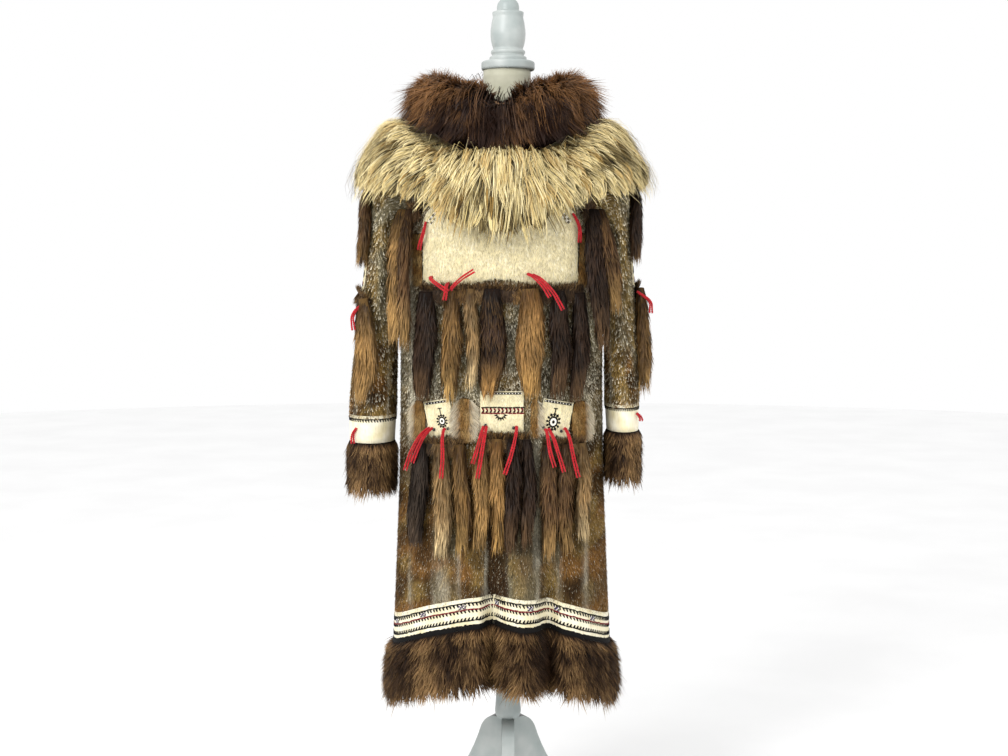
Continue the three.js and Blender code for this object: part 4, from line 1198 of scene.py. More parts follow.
angle = all_round(144)
wolf_hair, wolf_wool = haired("wolf_hair", 0.6), underfur("wolf_underfur", 2.0)
dark_hair, dark_wool = haired("dark_fur_hair", 0.5, 0.2), underfur("dark_underfur", 2.0)
WOLF_CREAM, WOLF_PALE = linear("#d9c282"), linear("#efdfae")
WOLF_OLIVE, WOLF_DARK = linear("#7d6b42"), linear("#17130f")
WOLF_GOLD = linear("#b98f45")
DARK_BROWN, DARK_WARM = linear("#27160d"), linear("#936840")
DARK_GOLD, BARE_HIDE = linear("#c08a4c"), linear("#c79a73")


def collar(name, seat, corners, shrink, look, node_name, tone):
    """Builds a collar's pelt, within its hair, and returns it from its seat's edge on."""
    loop = collar_loops(seat, corners, angle)
    middle = loop.mean(axis=0)
    fine = finer(loop, 4)
    core = middle + (fine - middle) * np.broadcast_to(shrink, angle.shape)[None, :, None]
    core[:len(seat) * 4 - 3] = fine[:len(seat) * 4 - 3]
    rows, columns = core.shape[:2]
    faces = grid_faces(rows, columns, wrap=True)
    closing = grid_faces(2, columns, wrap=True)
    closing = np.where(closing >= columns, closing - columns, closing + (rows - 1) * columns)
    points = core.reshape(-1, 3) + PARKA
    faces = facing_out(points, np.concatenate([faces, closing]))
    tones = np.broadcast_to(tone, core.shape).reshape(-1, 3)
    build(name, points, [faces], look, tones, [node_name])
    return core[len(seat) * 4 - 4:]


def combed(grid, hanging, count, length, width, lift, tints_of, rng, strength, cell, flare,
           most=1.0, first_row=0.0, spread=None, short=None):
    """Long hair that lies along a surface and hangs on past its end, in pointed locks."""
    at, steps = grid["at"], 3
    rows, columns = at.shape[:2]
    last = at[-1:]
    fall = np.linspace(0, 1, 13)[1:, None, None]
    onward = unit(at[-1:] - at[-2:-1]) * 0.35 + np.array([0, 0, -0.65])
    if spread is not None:
        level_out = unit(grid["out"][-1:] * np.array([1, 1, 0]))
        onward = level_out * spread[None, :, None] + np.array([0, 0, -0.8])
    field = np.concatenate([at, last + onward * fall * hanging])
    outward = np.concatenate([grid["out"], np.repeat(grid["out"][-1:], 12, axis=0)])
    run = np.linalg.norm(np.diff(field, axis=0), axis=2).mean(axis=1)
    run = np.concatenate([[0], np.cumsum(run)])
    roots = scatter(grid, count, rng)
    roots = kept(roots, roots["row"] >= first_row)
    count = len(roots["at"])
    first = np.interp(roots["row"] * (rows - 1), np.arange(len(run)), run)
    total = run[rows - 1] + hanging
    reach = length * rng.uniform(0.75, 1.15, count)
    reach = np.minimum(reach, (total - first) * rng.uniform(0.8, most, count))
    if short is not None:
        reach = reach * (1 - short[(roots["column"] * columns).astype(int) % columns])
    pull, lock = clumped(roots, cell, strength, int(rng.integers(10000)))
    locks = lock.max() + 1
    reach = reach * rng.uniform(0.82, 1.1, locks)[lock]
    side = unit(np.cross(roots["down"], roots["out"]))
    sideways = (pull * side).sum(axis=1) + reach * rng.normal(0, 0.17, locks)[lock]
    sideways = sideways + reach * flare * side[:, 0] * np.cos(roots["turn"])
    tone, root_tone, tip_tone = tints_of(roots, lock)
    at_side = np.abs(np.cos(roots["turn"]))
    raised = lift * rng.uniform(0.5, 1.3, count) * rng.uniform(0.6, 1.4, locks)[lock]
    raised = raised * (1 - 0.35 * at_side * (roots["row"] < 0.6))
    half = (width * rng.uniform(0.7, 1.3, count))[:, None] / 2
    levels, colours = [], []
    for level in range(steps + 1):
        share = level / steps
        row = np.interp(first + reach * share, run, np.arange(len(run)))
        low = np.minimum(row.astype(int), len(run) - 2)
        mix = (row - low)[:, None]
        column = roots["column"] * columns
        left = column.astype(int) % columns
        beside = (column - column.astype(int))[:, None]
        right = (left + 1) % columns
        spot, out = (
            (kind[low, left] * (1 - beside) + kind[low, right] * beside) * (1 - mix)
            + (kind[low + 1, left] * (1 - beside) + kind[low + 1, right] * beside) * mix
            for kind in (field, outward))
        spine = spot + out * (raised * np.sin(share * 2.2) * 1.1)[:, None]
        spine = spine + side * (sideways * share ** 1.3)[:, None]
        taper = (1 - share ** 1.8) * (0.8 + 0.4 * share)
        colour = mixed(root_tone, tone, share * 2) if share < 0.5 else mixed(
            tone, tip_tone, share * 2 - 1)
        if level == steps:
            levels.append(spine)
            colours.append(colour)
        else:
            levels += [spine - side * half * taper, spine + side * half * taper]
            colours += [colour, colour]
    return strips(levels, colours)


raised_hem = np.exp(-((np.abs(np.cos(angle)) - 0.54) / 0.27) ** 2) * (np.sin(angle) < 0)
wolf_core = collar("collar_wolf_pelt", WOLF_SEAT, WOLF_CORNERS, 0.86 - 0.38 * raised_hem, wolf_wool,
                   "collar_wolf", WOLF_CREAM * 0.45)


def wolf_tones(roots, lock):
    """Cream locks with olive and dark patches low down, dark and pale single hairs."""
    rng = np.random.default_rng(122)
    of_lock = rng.random(lock.max() + 1)[lock]
    down_share, turn = roots["row"], roots["turn"]
    patch = waves(turn * 160, down_share * 130, 123, 90)
    olive = np.clip(1.2 * patch + 1.4 * (down_share - 0.5), 0, 0.95) * (of_lock > 0.3)
    base = mixed(WOLF_CREAM, WOLF_PALE, rng.random(len(turn)))
    base = mixed(base, WOLF_OLIVE, olive)
    base = mixed(base, WOLF_GOLD, 0.55 * (of_lock > 0.84))
    dark_tip = (rng.random(len(turn)) < 0.16 + 0.45 * olive)[:, None]
    tip = np.where(dark_tip, WOLF_DARK + 0.15 * base, base * 1.05)
    dark_whole = (rng.random(len(turn)) < 0.1 + 0.2 * olive)[:, None]
    base = np.where(dark_whole, WOLF_DARK + 0.1 * base, base)
    return base, base * rng.uniform(0.12, 0.6, (len(turn), 1)), tip


wolf_grid = faced(wolf_core[:21], wrap=True)
rng = np.random.default_rng(120)
wolf_coats = [
    combed(wolf_grid, 22, 19000, 62, 2.6, 11, wolf_tones, rng, strength=0.9, cell=28, flare=0.75,
           short=0.22 * raised_hem),
    combed(wolf_grid, 44, 1800, 88, 1.7, 24, wolf_tones, rng, strength=0.3, cell=7, most=1.15,
           flare=0.8, short=0.45 * raised_hem),
]
fur("collar_wolf_hair", wolf_coats, wolf_hair)

parting = np.exp(-((angle - 1.5 * np.pi) / 0.06) ** 2)
dark_tone = mixed(DARK_BROWN * 0.5, BARE_HIDE, parting)
dark_core = collar("collar_dark_pelt", DARK_SEAT, DARK_CORNERS, 0.47, dark_wool,
                   "collar_dark", dark_tone)


def dark_tones(roots, lock):
    """Warm brown by the neck and on top, nearly black below, with golden tips; the warmth by height is
    partly painted light.
    """
    rng = np.random.default_rng(132)
    of_lock = rng.random(lock.max() + 1)[lock]
    down_share, turn = roots["row"], roots["turn"]
    # Warmer with height: partly the fur's own colour, partly painted light on the roll's top.
    warm = np.clip((roots["at"][:, 2] - 1488) / 40, 0, 1) + 0.5 * (of_lock - 0.5)
    warm = warm + 0.3 * waves(turn * 130, down_share * 160, 133, 80) - 0.1
    warm = warm * np.clip((200 - np.abs(roots["at"][:, 0])) / 45, 0.15, 1)
    base = mixed(DARK_BROWN, DARK_WARM, warm)
    tip = mixed(base, DARK_GOLD, 0.6 * np.clip(warm, 0, 1) * rng.random(len(turn)))
    return base, DARK_BROWN * rng.uniform(0.2, 0.7, (len(turn), 1)), tip


rng = np.random.default_rng(130)
dark_grid = faced(dark_core[:25], wrap=True)
roots = scatter(dark_grid, 21500, rng)
pull, lock = clumped(roots, 19, 0.75, 131)
base, root_tone, tip = dark_tones(roots, lock)
turn = roots["turn"]
at_parting = np.exp(-((turn - 1.5 * np.pi) / 0.12) ** 2)
of_lock = rng.uniform(0.6, 1.35, lock.max() + 1)[lock]
low = eased((roots["row"] - 0.45) / 0.3)
at_side = np.abs(np.cos(turn))
reach = (26 + (16 + 8 * at_side) * low) * of_lock * (1 - 0.7 * at_parting * (1 - low))
outwards = 0.9 - 0.3 * low
lean = rng.normal(0, 0.35, lock.max() + 1)[lock] - 0.35 * at_parting * np.sign(turn - 1.5 * np.pi)
fall_out = 0.4 + 0.5 * np.abs(np.cos(angle))
dark_coats = [
    blades(roots, reach, 2.2, outwards, 0.14, [root_tone, base, tip], rng, 2, sag=7.0, pull=pull,
           lean=lean),
    combed(dark_grid, 60, 9500, 66, 2.2, 14, dark_tones, rng, strength=0.85, cell=22,
           first_row=0.55, flare=0.5, spread=fall_out),
    combed(dark_grid, 64, 1300, 74, 1.5, 24, dark_tones, rng, strength=0.3, cell=6, most=1.1,
           flare=0.5, spread=fall_out),
]
fur("collar_dark_hair", dark_coats, dark_hair)

# ---------------------------------------------------------------- calfskin plates
# Plates of white calfskin, hair side out, sewn on the chest, the waist and the upper
# sleeves. Lines of thread and glass beads edge them, with a rosette on two of them.


def on_front(x, z, offset):
    """A point off the front of the body, by its place across and its height."""
    x, z = np.broadcast_arrays(np.asarray(x, float), np.asarray(z, float))
    start = -np.arccos(np.clip(x / 215, -0.98, 0.98))
    run, angle = find([0, 2], np.stack([x, z], axis=-1), 1500 - z, start)
    return body(run, angle, offset)


LAY_GAP, PLATE = 0.8, 3.0


def patch_place(centre_x, centre_z, tilt=0.0):
    """Places on a patch of the front by distance across and down from its middle."""
    turn = math.radians(tilt)

    def place(across, down, offset):
        across, up = np.asarray(across, float), -np.asarray(down, float)
        return on_front(centre_x + across * math.cos(turn) - up * math.sin(turn),
                        centre_z + across * math.sin(turn) + up * math.cos(turn),
                        LAY_GAP + PLATE + offset)
    return place


def rounded_edge(height, sharpness):
    """An edge at a height that curves down to both sides."""
    return lambda across: height * (1 - np.abs(across * 0.985) ** sharpness) ** (1 / sharpness)


def patch_grid(place, half_width, high, low, rows, columns, offset):
    """A patch between its upper and lower edge, as a grid."""
    across = np.linspace(-1, 1, columns)[None, :]
    share = np.linspace(0, 1, rows)[:, None]
    up = high(across) * (1 - share) + low(across) * share
    return place(across * half_width + 0 * up, -up, offset)


def hide(name, place, half_width, high, low, look, thickness=PLATE, size=(17, 21)):
    """A patch's shell, and its outer face as a grid for hair."""
    top = patch_grid(place, half_width, high, low, *size, thickness - PLATE)
    foot = patch_grid(place, half_width, high, low, *size, -PLATE)
    return shell(name + "_hide", top, foot, look, [name]), faced(top)


calf_plate = calfskin("calfskin_plate", 0.75)
calf_hair = haired("calf_hair", 0.75)
CALF_TONES = [linear(colour) for colour in ("#e2d4a4", "#faf1cf", "#93825c")]


def short_hair(grid, count, rng, fleck=0.12, lift=0.2):
    """The calf's short cream hair, some of it darker."""
    roots = scatter(grid, count, rng)
    tone = rng.uniform(0.75, 1.12, (count, 1))
    root = CALF_TONES[0] * tone
    tip = np.where((rng.random(count) < fleck)[:, None], CALF_TONES[2] * tone,
                   CALF_TONES[1] * tone)
    streak = waves(roots["column"] * 300, roots["row"] * 180, 7, 40)
    return blades(roots, 6.5, 1.4, lift, 0.12, [root, tip], rng, lean=0.3 * streak)


chest_place = patch_place(CHEST["x"], CHEST["z"])
chest, chest_face = hide("chest_plate", chest_place, CHEST["half_width"], chest_high, chest_low,
                         calf_plate, size=(29, 45))
chest_hair = fur("chest_plate_hair", [short_hair(chest_face, 20000, np.random.default_rng(140))],
                 calf_hair)
beaded = Needlework()
for start, end in (([-103, -88], [-137, -40]), ([90, -86], [133, -44])):
    start, end = np.array(start, float), np.array(end, float)
    along = (end - start) / np.linalg.norm(end - start)
    across = np.array([-along[1], along[0]])
    spots, colours = [], []
    for step in range(int(np.linalg.norm(end - start) / 2.3)):
        for row in range(4):
            spots.append(start + along * step * 2.3 + across * (row - 1.5) * 2.3)
            colours.append(BLACK if (step // 2 + row // 2) % 2 else WHITE)
    beaded.beads(chest_place, spots, colours, 1.2)
chest_beads = beaded.sewn("chest_plate_beads", bead_glass, "calfskin", True)


def rosette(work, place, centre, radius, petals, petal_width):
    """Pointed stitches round an open middle, with a pale ring and a dark dot in it."""
    across, down = centre
    turn = np.arange(petals) * 2 * np.pi / petals
    rays = []
    for angle_of in turn:
        ahead = np.array([math.cos(angle_of), math.sin(angle_of) * 1.25])
        beside = np.array([-ahead[1], ahead[0]]) * petal_width / 2
        inner = np.array(centre) + ahead * radius * 0.52
        middle = np.array(centre) + ahead * radius * 0.78
        rays.append([inner, middle + beside, np.array(centre) + ahead * radius, middle - beside])
    work.stitches(place, rays, BLACK)
    for size, colour, lift in ((0.62, BLACK, 0.7), (0.42, WHITE, 1.0), (0.18, BLACK, 1.3)):
        ring_of = [[across + radius * size * math.cos(a), down + radius * size * 1.25 * math.sin(a)]
                   for a in np.arange(12) * np.pi / 6]
        slices = [[[across, down], ring_of[i], ring_of[(i + 1) % 12], ring_of[(i + 2) % 12]]
                  for i in range(0, 12, 2)]
        work.stitches(place, slices, colour, lift)


def dashed(work, beads_of, place, reach, down, rng):
    """A black stitched line with white beads along it."""
    line = [[[s, down], [s + 3.6, down], [s + 3.6, down + 4.4], [s, down + 4.4]]
            for s in np.arange(-reach, reach - 2, 3.8)]
    work.stitches(place, line, BLACK)
    spots = [[s + 1.9, down + 2.2 + rng.normal(0, 0.2)] for s in np.arange(-reach, reach - 2, 5.7)]
    beads_of.beads(place, spots, WHITE, 1.3)


for name, (x, z, half_width, half_height, tilt) in PLATES.items():
    place = patch_place(x, z, tilt)
    rng = np.random.default_rng(150 + half_width)
    plate, face = hide(name, place, half_width, lambda a: half_height + 0 * a,
                       lambda a: -half_height + 0 * a, calf_plate)
    count = int(half_width * half_height * 2.2)
    hair = fur(name + "_hair", [short_hair(face, count, rng, 0.03, 0.06)], calf_hair)
    stitched, beaded = Needlework(), Needlework()
    reach = half_width - 2
    dashed(stitched, beaded, place, reach, -half_height + 2, rng)
    if name == "waist_plate_centre":
        toothed_line(stitched, place, reach, -8, 6, BLACK, WINE, rng)
        toothed_line(stitched, place, reach, 3, -5, WINE, BLACK, rng)
        for step in range(7):
            turn = math.pi * (step + 0.5) / 7
            ahead = np.array([math.cos(turn), math.sin(turn)])
            beside = np.array([-ahead[1], ahead[0]]) * 1.9
            base = np.array([-2.0, 6.0])
            stitched.stitches(place, [[base + ahead * 5, base + ahead * 8 + beside,
                                       base + ahead * 14, base + ahead * 8 - beside]], BLACK)
        knots = [[-31, 27], [22, 32]]
    elif name == "waist_plate_left":
        rosette(stitched, place, (4, 8), 11.5, 12, 4.2)
        stitched.stitches(place, [[[3, -17], [4.6, -17], [4.6, -6], [3, -6]],
                                  [[0, -17.5], [7.6, -17.5], [7.6, -15.8], [0, -15.8]]], BLACK)
        knots = [[-14, 22], [13, 24]]
    else:
        rosette(stitched, place, (-3, 9), 15, 12, 5.2)
        stitched.stitches(place, [[[-3.8, -18], [-2.2, -18], [-2.2, -9], [-3.8, -9]],
                                  [[-7, -18], [1, -18], [1, -16], [-7, -16]]], BLACK)
        knots = [[-20, 22], [15, 24]]
    beaded.beads(place, knots, BLACK, 3.2)
    work = [hair, stitched.sewn(name + "_stitches", thread, "calfskin", False),
            beaded.sewn(name + "_beads", bead_glass, "calfskin", True)]

for number, side in enumerate(("left", "right")):
    def place(across, down, offset):
        return off_sleeve(side, 4.25 + np.asarray(down) / 95, np.asarray(across) / 60,
                          np.broadcast_to(LAY_GAP + PLATE + offset, np.shape(across)))
    plate, face = hide(f"sleeve_plate_{side}", place, 30, lambda a: 28.5 + 0 * a,
                       lambda a: -28.5 + 0 * a, calf_plate)
    rng = np.random.default_rng(160 + number)
    hair = fur(f"sleeve_plate_{side}_hair", [short_hair(face, 2400, rng, 0.03, 0.06)],
               calf_hair)
    stitched = Needlework()
    toothed_line(stitched, place, 29, -24, 6, BLACK, BLACK, rng)
    toothed_line(stitched, place, 29, 20, -6, BLACK, WINE, rng)
    blocks = [[[s, -8], [s + 5, -8], [s + 5, 6], [s, 6]] for s in (-24, -8, 8, 22)]
    stitched.stitches(place, blocks, BLACK)
    work = stitched.sewn(f"sleeve_plate_{side}_stitches", thread, "calfskin", False)

# ---------------------------------------------------------------- small squirrel pieces
# Squirrel strips beside the chest plate and rounded pieces by the waist plates, whose
# pale belly fur stands out along their edges.


def edged_coat(grid, count, pale_side, rng):
    """Brown fur with pale hair along one side or both."""
    roots = scatter(grid, count, rng)
    across = roots["column"] * 2 - 1
    edge = np.abs(across) if pale_side == 0 else across * pale_side
    pale = eased((edge - 0.35) / 0.4)
    patches = waves(roots["at"][:, 0], roots["at"][:, 2], 7, 34)
    brown = mixed(BROWN * 2.6, linear("#c39f66"), 0.3 + patches + rng.normal(0, 0.3, count))
    colour = mixed(brown, CREAM * 0.75, pale * rng.uniform(0.5, 1, count))
    lean = 0.9 * pale * np.sign(across) * -1
    reach = 13 + 6 * pale
    return blades(roots, reach, 2.1, 0.3, 0.25, ticked(colour, pale, rng), rng, lean=lean)


WAIST_SKINS = {  # place across and up, half width, half height and the pale side
    "waist_skin_left_outer": (-159, 876, 12.5, 36, -1),
    "waist_skin_left_inner": (-70, 882, 19, 38, 0),
    "waist_skin_right_inner": (64, 886, 7, 34, 1),
    "waist_skin_right_outer": (152, 876, 17, 36, 1),
}
for name, (x, z, half_width, half_height, pale_side) in WAIST_SKINS.items():
    edge = rounded_edge(half_height, 3)
    strip, face = hide(name, patch_place(x, z), half_width, edge, lambda a: -edge(a),
                       squirrel_wool, 2.5, (17, 17))
    rng = np.random.default_rng(170 + int(half_width))
    count = int(half_width * half_height * 4.2)
    hair = fur(name + "_fur", [edged_coat(face, count, pale_side, rng)], squirrel_hair)
for side, sign in (("left", -1), ("right", 1)):
    name = f"chest_trim_{side}"
    strip, face = hide(name, patch_place(CHEST["x"] + sign * 162, 1196, sign * -2), 11,
                       lambda a: 40 + 0 * a, lambda a: -54 + 0 * a, squirrel_wool,
                       2.5, (17, 11))
    hair = fur(name + "_fur", [edged_coat(face, 2300, sign, np.random.default_rng(180 + sign))],
               squirrel_hair)

# ---------------------------------------------------------------- hanging tails
# Tails sewn in rows under the plates, at the shoulders and on the sleeves. Each is a
# soft lock of long hair on a narrow strip of skin, thickest in its upper half.

SWELL = np.array([[0, 0.72], [0.1, 0.9], [0.35, 1], [0.7, 0.92], [0.9, 0.62], [1, 0.14]])
TAIL_CLEARANCE = 4
tail_hair, tail_wool = haired("tail_hair", 0.55, 0.18), underfur("tail_underfur", 1.5)


def hang(x, z, offset, half_width):
    """A point before the front, clear of the folds that stand out on each side of it."""
    x, z = np.broadcast_arrays(np.asarray(x, float), np.asarray(z, float))
    start = -np.arccos(np.clip(x / 215, -0.98, 0.98))
    run, angle_of = find([0, 2], np.stack([x, z], axis=-1), 1500 - z, start)
    point = smooth_body(run, angle_of, np.broadcast_to(offset, run.shape))
    out = [fold_depth(x + shift, z, FRONT) for shift in (-half_width, 0, half_width)]
    point[..., 1] -= np.maximum(0, np.max(out, axis=0))
    return point


def tail(route, width, depth, colours, rng, hairs):
    """The core and the hair of one tail, from its top, middle, tip and side colours; the darker sides
    are painted shade.
    """
    at = np.linspace(0, 0.9, 16)
    centre = route(at, 0.0)
    facing = unit(route(at, 10.0) - centre)
    ahead = unit(route(np.minimum(at + 0.02, 1), 0.0) - route(np.maximum(at - 0.02, 0), 0.0))
    across = unit(np.cross(ahead, facing))
    facing = unit(np.cross(across, ahead))
    sway = np.sin(at * rng.uniform(3, 6.5) + rng.uniform(0, 6)) * 9 * at
    centre = centre + across * sway[:, None]
    share = np.interp(at, SWELL[:, 0], SWELL[:, 1])[:, None, None] * 0.9
    turn = all_round(14)[None, :, None]
    broad = (0.86 + 0.3 * at[:, None, None])
    core = (centre[:, None] + across[:, None] * np.cos(turn) * share * broad * width / 2
            + facing[:, None] * np.sin(turn) * share * depth / 2)
    grid = faced(core, wrap=True)
    grid["down"] = np.broadcast_to(ahead[:, None], core.shape).copy()
    roots = scatter(grid, hairs, rng)
    place = roots["row"]
    top, middle, end, edge = (linear(colour) for colour in colours)
    colour = mixed(top, middle, eased(place * 2.4))
    colour = mixed(colour, end, eased((place - 0.62) / 0.34))
    streak = waves(roots["column"] * 60, place * 70, int(rng.integers(1000)), 24)
    shaded_side_share = np.abs(np.cos(roots["turn"]))
    # Painted shade: the hair darkens to the side colour where the round tail turns sideways.
    colour = mixed(colour, edge, 0.75 * eased((shaded_side_share - 0.72) / 0.25 + 0.4 * streak))
    colour = colour * (0.95 + 0.42 * streak[:, None] + rng.normal(0, 0.18, (hairs, 1)))
    colour = np.clip(colour, 0.002, 0.95)
    root = colour * rng.uniform(0.3, 0.7, (hairs, 1))
    reach = 26 + 14 * eased((place - 0.5) * 2)
    tip = mixed(colour, end, 0.35)
    middle_at = np.stack([np.interp(place * 0.9, at, centre[:, axis]) for axis in range(3)], axis=1)
    pull = (middle_at - roots["at"]) * (0.75 * eased((place - 0.55) / 0.4))[:, None]
    coat = blades(roots, reach, 2.5, 0.19, 0.1, [root, colour, tip], rng, 2, sag=0.5,
                  lean=0.16 * streak, pull=pull)
    return core, coat


def tails(name, group, strip):
    """A row of tails and the strip they are sewn to, as a core piece and a hair piece."""
    points, faces, ends, shades, coats, start = [], [], [], [], [], 0
    for route, width, depth, colours, rng in group:
        core, coat = tail(route, width, depth, colours, rng, int(780 * width / 34))
        coats.append(coat)
        rows, columns = core.shape[:2]
        last = (rows - 1) * columns
        end = start + np.arange(columns)
        ends += [end, end[::-1] + last]
        points.append(core.reshape(-1, 3))
        faces.append(grid_faces(rows, columns, start, wrap=True))
        shades.append(np.broadcast_to(linear(colours[1]) * 0.35, (core.size // 3, 3)))
        start += core.size // 3
    top, foot = strip
    rows, columns = top.shape[:2]
    points += [top.reshape(-1, 3), foot.reshape(-1, 3)]
    squares = grid_faces(rows, columns, start)
    faces += [squares, squares[:, ::-1] + rows * columns]
    shades.append(np.broadcast_to(linear("#3a2a1a"), (2 * rows * columns, 3)))
    build(name + "_skins", np.concatenate(points) + PARKA, [np.concatenate(faces), np.array(ends)],
          tail_wool, np.concatenate(shades), [name])
    rng = np.random.default_rng(len(name))
    roots = scatter(faced(top), int(top.shape[1] * 75), rng)
    of_tail = np.minimum((roots["column"] * len(group)).astype(int), len(group) - 1)
    shade = np.array([linear(row[3][1]) for row in group])[of_tail]
    shade = mixed(linear("#54402a"), shade, rng.random(len(shade)))
    shade = shade * rng.uniform(0.5, 1.5, (len(shade), 1))
    coats.append(blades(roots, 21, 2.4, 0.36, 0.35, [shade * 0.5, shade], rng))
    upward = kept(roots, (roots["row"] < 0.6) & (rng.random(len(shade)) < 0.6))
    shade = shade[:len(upward["at"])]
    upward["down"] = -upward["down"]
    coats.append(blades(upward, 17, 2.4, 0.45, 0.35, [shade * 0.5, shade], rng))
    fur(name + "_hair", coats, tail_hair)


def front_route(x, z, length, width, depth, lean):
    """The line of a tail down the front, by its share down and its distance off it."""
    def route(at, offset):
        at = np.asarray(at, float)
        return hang(x + lean * at, z - length * at, TAIL_CLEARANCE + depth / 2 + offset, width / 2)
    return route


# Colours of a tail at its top, middle, tip and sides. The darker side colours are painted shade where
# a tail turns away beside its neighbours.
DARK_TAIL = ("#241810", "#2d1e14", "#59422a", "#1d130d")
GOLD_TAIL = ("#4b351d", "#7f5f35", "#a1804b", "#35251a")
TAN_TAIL = ("#5c4529", "#97774c", "#c6ad80", "#4b3721")
GOLDEN_END = ("#251910", "#33231a", "#97713f", "#20150e")
GOLD_BROWN = ("#6b4a26", "#9c7645", "#a8824a", "#5a3e22")
BROWN_TAIL = ("#3f2d1d", "#5c4127", "#9b7a4a", "#3a291a")
GREY_TAIL = ("#271f19", "#30261d", "#45372a", "#231b15")
LIGHT_TAIL = ("#3d2c1b", "#9a7645", "#a5824f", "#5d472c")

# Each row: place across, height of the root, length, width, depth, sideways drift, colours.
CHEST_TAILS = [
    (-137, 1124, 204, 46, 26, -2, DARK_TAIL),
    (-92, 1126, 202, 36, 24, 4, GOLD_TAIL),
    (-57, 1130, 176, 24, 20, 2, TAN_TAIL),
    (-17, 1130, 198, 48, 26, -2, GOLDEN_END),
    (53, 1130, 198, 52, 26, 4, GOLD_BROWN),
    (105, 1126, 194, 38, 24, 0, DARK_TAIL),
    (142, 1122, 202, 34, 26, 0, DARK_TAIL),
]
WAIST_TAILS = {
    "left": [
        (-147, 831, 188, 36, 24, -6, GREY_TAIL),
        (-109, 832, 206, 32, 24, -2, TAN_TAIL),
        (-76, 832, 196, 26, 22, 2, GOLD_TAIL),
    ],
    "centre": [
        (-36, 842, 200, 26, 22, -5, LIGHT_TAIL),
        (-8, 844, 208, 26, 24, -2, GOLD_BROWN),
        (21, 844, 210, 26, 24, 2, DARK_TAIL),
        (47, 842, 190, 22, 22, 5, DARK_TAIL),
    ],
    "right": [
        (85, 831, 206, 28, 24, -2, BROWN_TAIL),
        (117, 831, 200, 28, 24, 2, BROWN_TAIL),
        (147, 831, 172, 26, 22, 6, TAN_TAIL),
    ],
}


def front_tails(name, rows, seed, broader):
    """A row of tails on the front, each as much broader than listed."""
    group = [(front_route(*row[:6]), row[3] * broader, row[4], row[6],
              np.random.default_rng(seed + number)) for number, row in enumerate(rows)]
    left = min(row[0] - row[3] * 0.25 for row in rows)
    right = max(row[0] + row[3] * 0.25 for row in rows)
    top, foot = max(row[1] for row in rows) + 2, min(row[1] for row in rows) - 7
    x = np.linspace(left, right, max(int((right - left) / 6), 4))[None, :]
    z = np.linspace(top, foot, 4)[:, None]
    strip = [on_front(x, z, offset) for offset in (10, 0.9)]
    tails(name, group, strip)


front_tails("chest_tails", CHEST_TAILS, 200, 1.1)
for where, rows in WAIST_TAILS.items():
    front_tails("waist_tails_" + where, rows, {"left": 210, "centre": 220, "right": 230}[where],
                1.2)

SHOULDER_TAILS = {  # root across, tip across, forward and up, and width
    "left": [(168, 194, -126, 1006, 28, BROWN_TAIL), (180, 212, -112, 1026, 42, LIGHT_TAIL)],
    "right": [(168, 188, -126, 1010, 42, DARK_TAIL), (180, 214, -112, 1088, 36, BROWN_TAIL)],
}
SHOULDER_ROOT = 1280


def shoulder_route(sign, root_x, tip_x, tip_y, tip_z):
    """The line of a tail from the shoulder down beside the arm."""
    root = on_front(np.array([sign * root_x]), SHOULDER_ROOT, 14)[0]
    tip = np.array([sign * tip_x, tip_y, tip_z])
    middle = np.array([root[0] + (tip[0] - root[0]) * 0.6, min(root[1], tip[1]) - 12,
                       root[2] + (tip[2] - root[2]) * 0.35])
    away = unit(np.array([sign * 0.3, -1.0, 0.0]))

    def route(at, offset):
        t = np.asarray(at, float)[:, None]
        curve = (1 - t) ** 2 * root + 2 * t * (1 - t) * middle + t * t * tip
        return curve + away * offset
    return route


for side, sign in (("left", -1), ("right", 1)):
    group = [(shoulder_route(sign, *row[:4]), row[4], 22, row[5], np.random.default_rng(240 + i))
             for i, row in enumerate(SHOULDER_TAILS[side])]
    x = sign * np.linspace(152, 170, 5)[None, :]
    z = np.linspace(SHOULDER_ROOT + 5, SHOULDER_ROOT - 6, 3)[:, None]
    tails(f"shoulder_tails_{side}", group, [on_front(x, z, offset) for offset in (12, 0.5)])

# Each row: place of the root along the sleeve, reach along it, turn, width, depth, colours.
SLEEVE_TAILS = {
    ("upper", "left"): [(2.34, 1.48, 0.3, 46, 20, BROWN_TAIL), (2.34, 1.6, -0.3, 36, 20, DARK_TAIL)],
    ("lower", "left"): [(4.66, 2.45, 1.05, 52, 22, LIGHT_TAIL), (4.66, 2.1, -1.05, 34, 20, GOLD_TAIL)],
    ("upper", "right"): [(2.34, 1.4, 0.3, 46, 20, DARK_TAIL), (2.34, 1.6, -0.3, 34, 20, GOLD_TAIL)],
    ("lower", "right"): [(4.66, 2.5, 0.3, 50, 22, GOLD_TAIL), (4.66, 2.1, -0.3, 34, 20, DARK_TAIL)],
}
for (level, side), rows in SLEEVE_TAILS.items():
    def sleeve_route(start, reach, turn, depth):
        def route(at, offset):
            at = np.asarray(at, float)
            drift = (0.32 if turn > 0 else -0.1) * np.minimum(at * 2, 1)
            return off_sleeve(side, start + reach * at, turn + drift,
                              TAIL_CLEARANCE + depth / 2 + offset + 0 * at)
        return route
    group = [(sleeve_route(row[0], row[1], row[2], row[4]), row[3], row[4], row[5],
              np.random.default_rng(250 + i)) for i, row in enumerate(rows)]
    ring = rows[0][0] + np.linspace(-0.04, 0.06, 3)[:, None]
    reach = abs(rows[0][2]) + 0.2
    turn = np.linspace(-reach, reach, 17)[None, :]
    strip = [off_sleeve(side, ring, turn, np.full((3, 17), offset)) for offset in (9.0, 1.0)]
    tails(f"sleeve_tails_{level}_{side}", group, strip)

# ---------------------------------------------------------------- red yarn ties
# Doubled strands of two-ply red wool, knotted at the plates' lower edges, that hang
# over the tails.


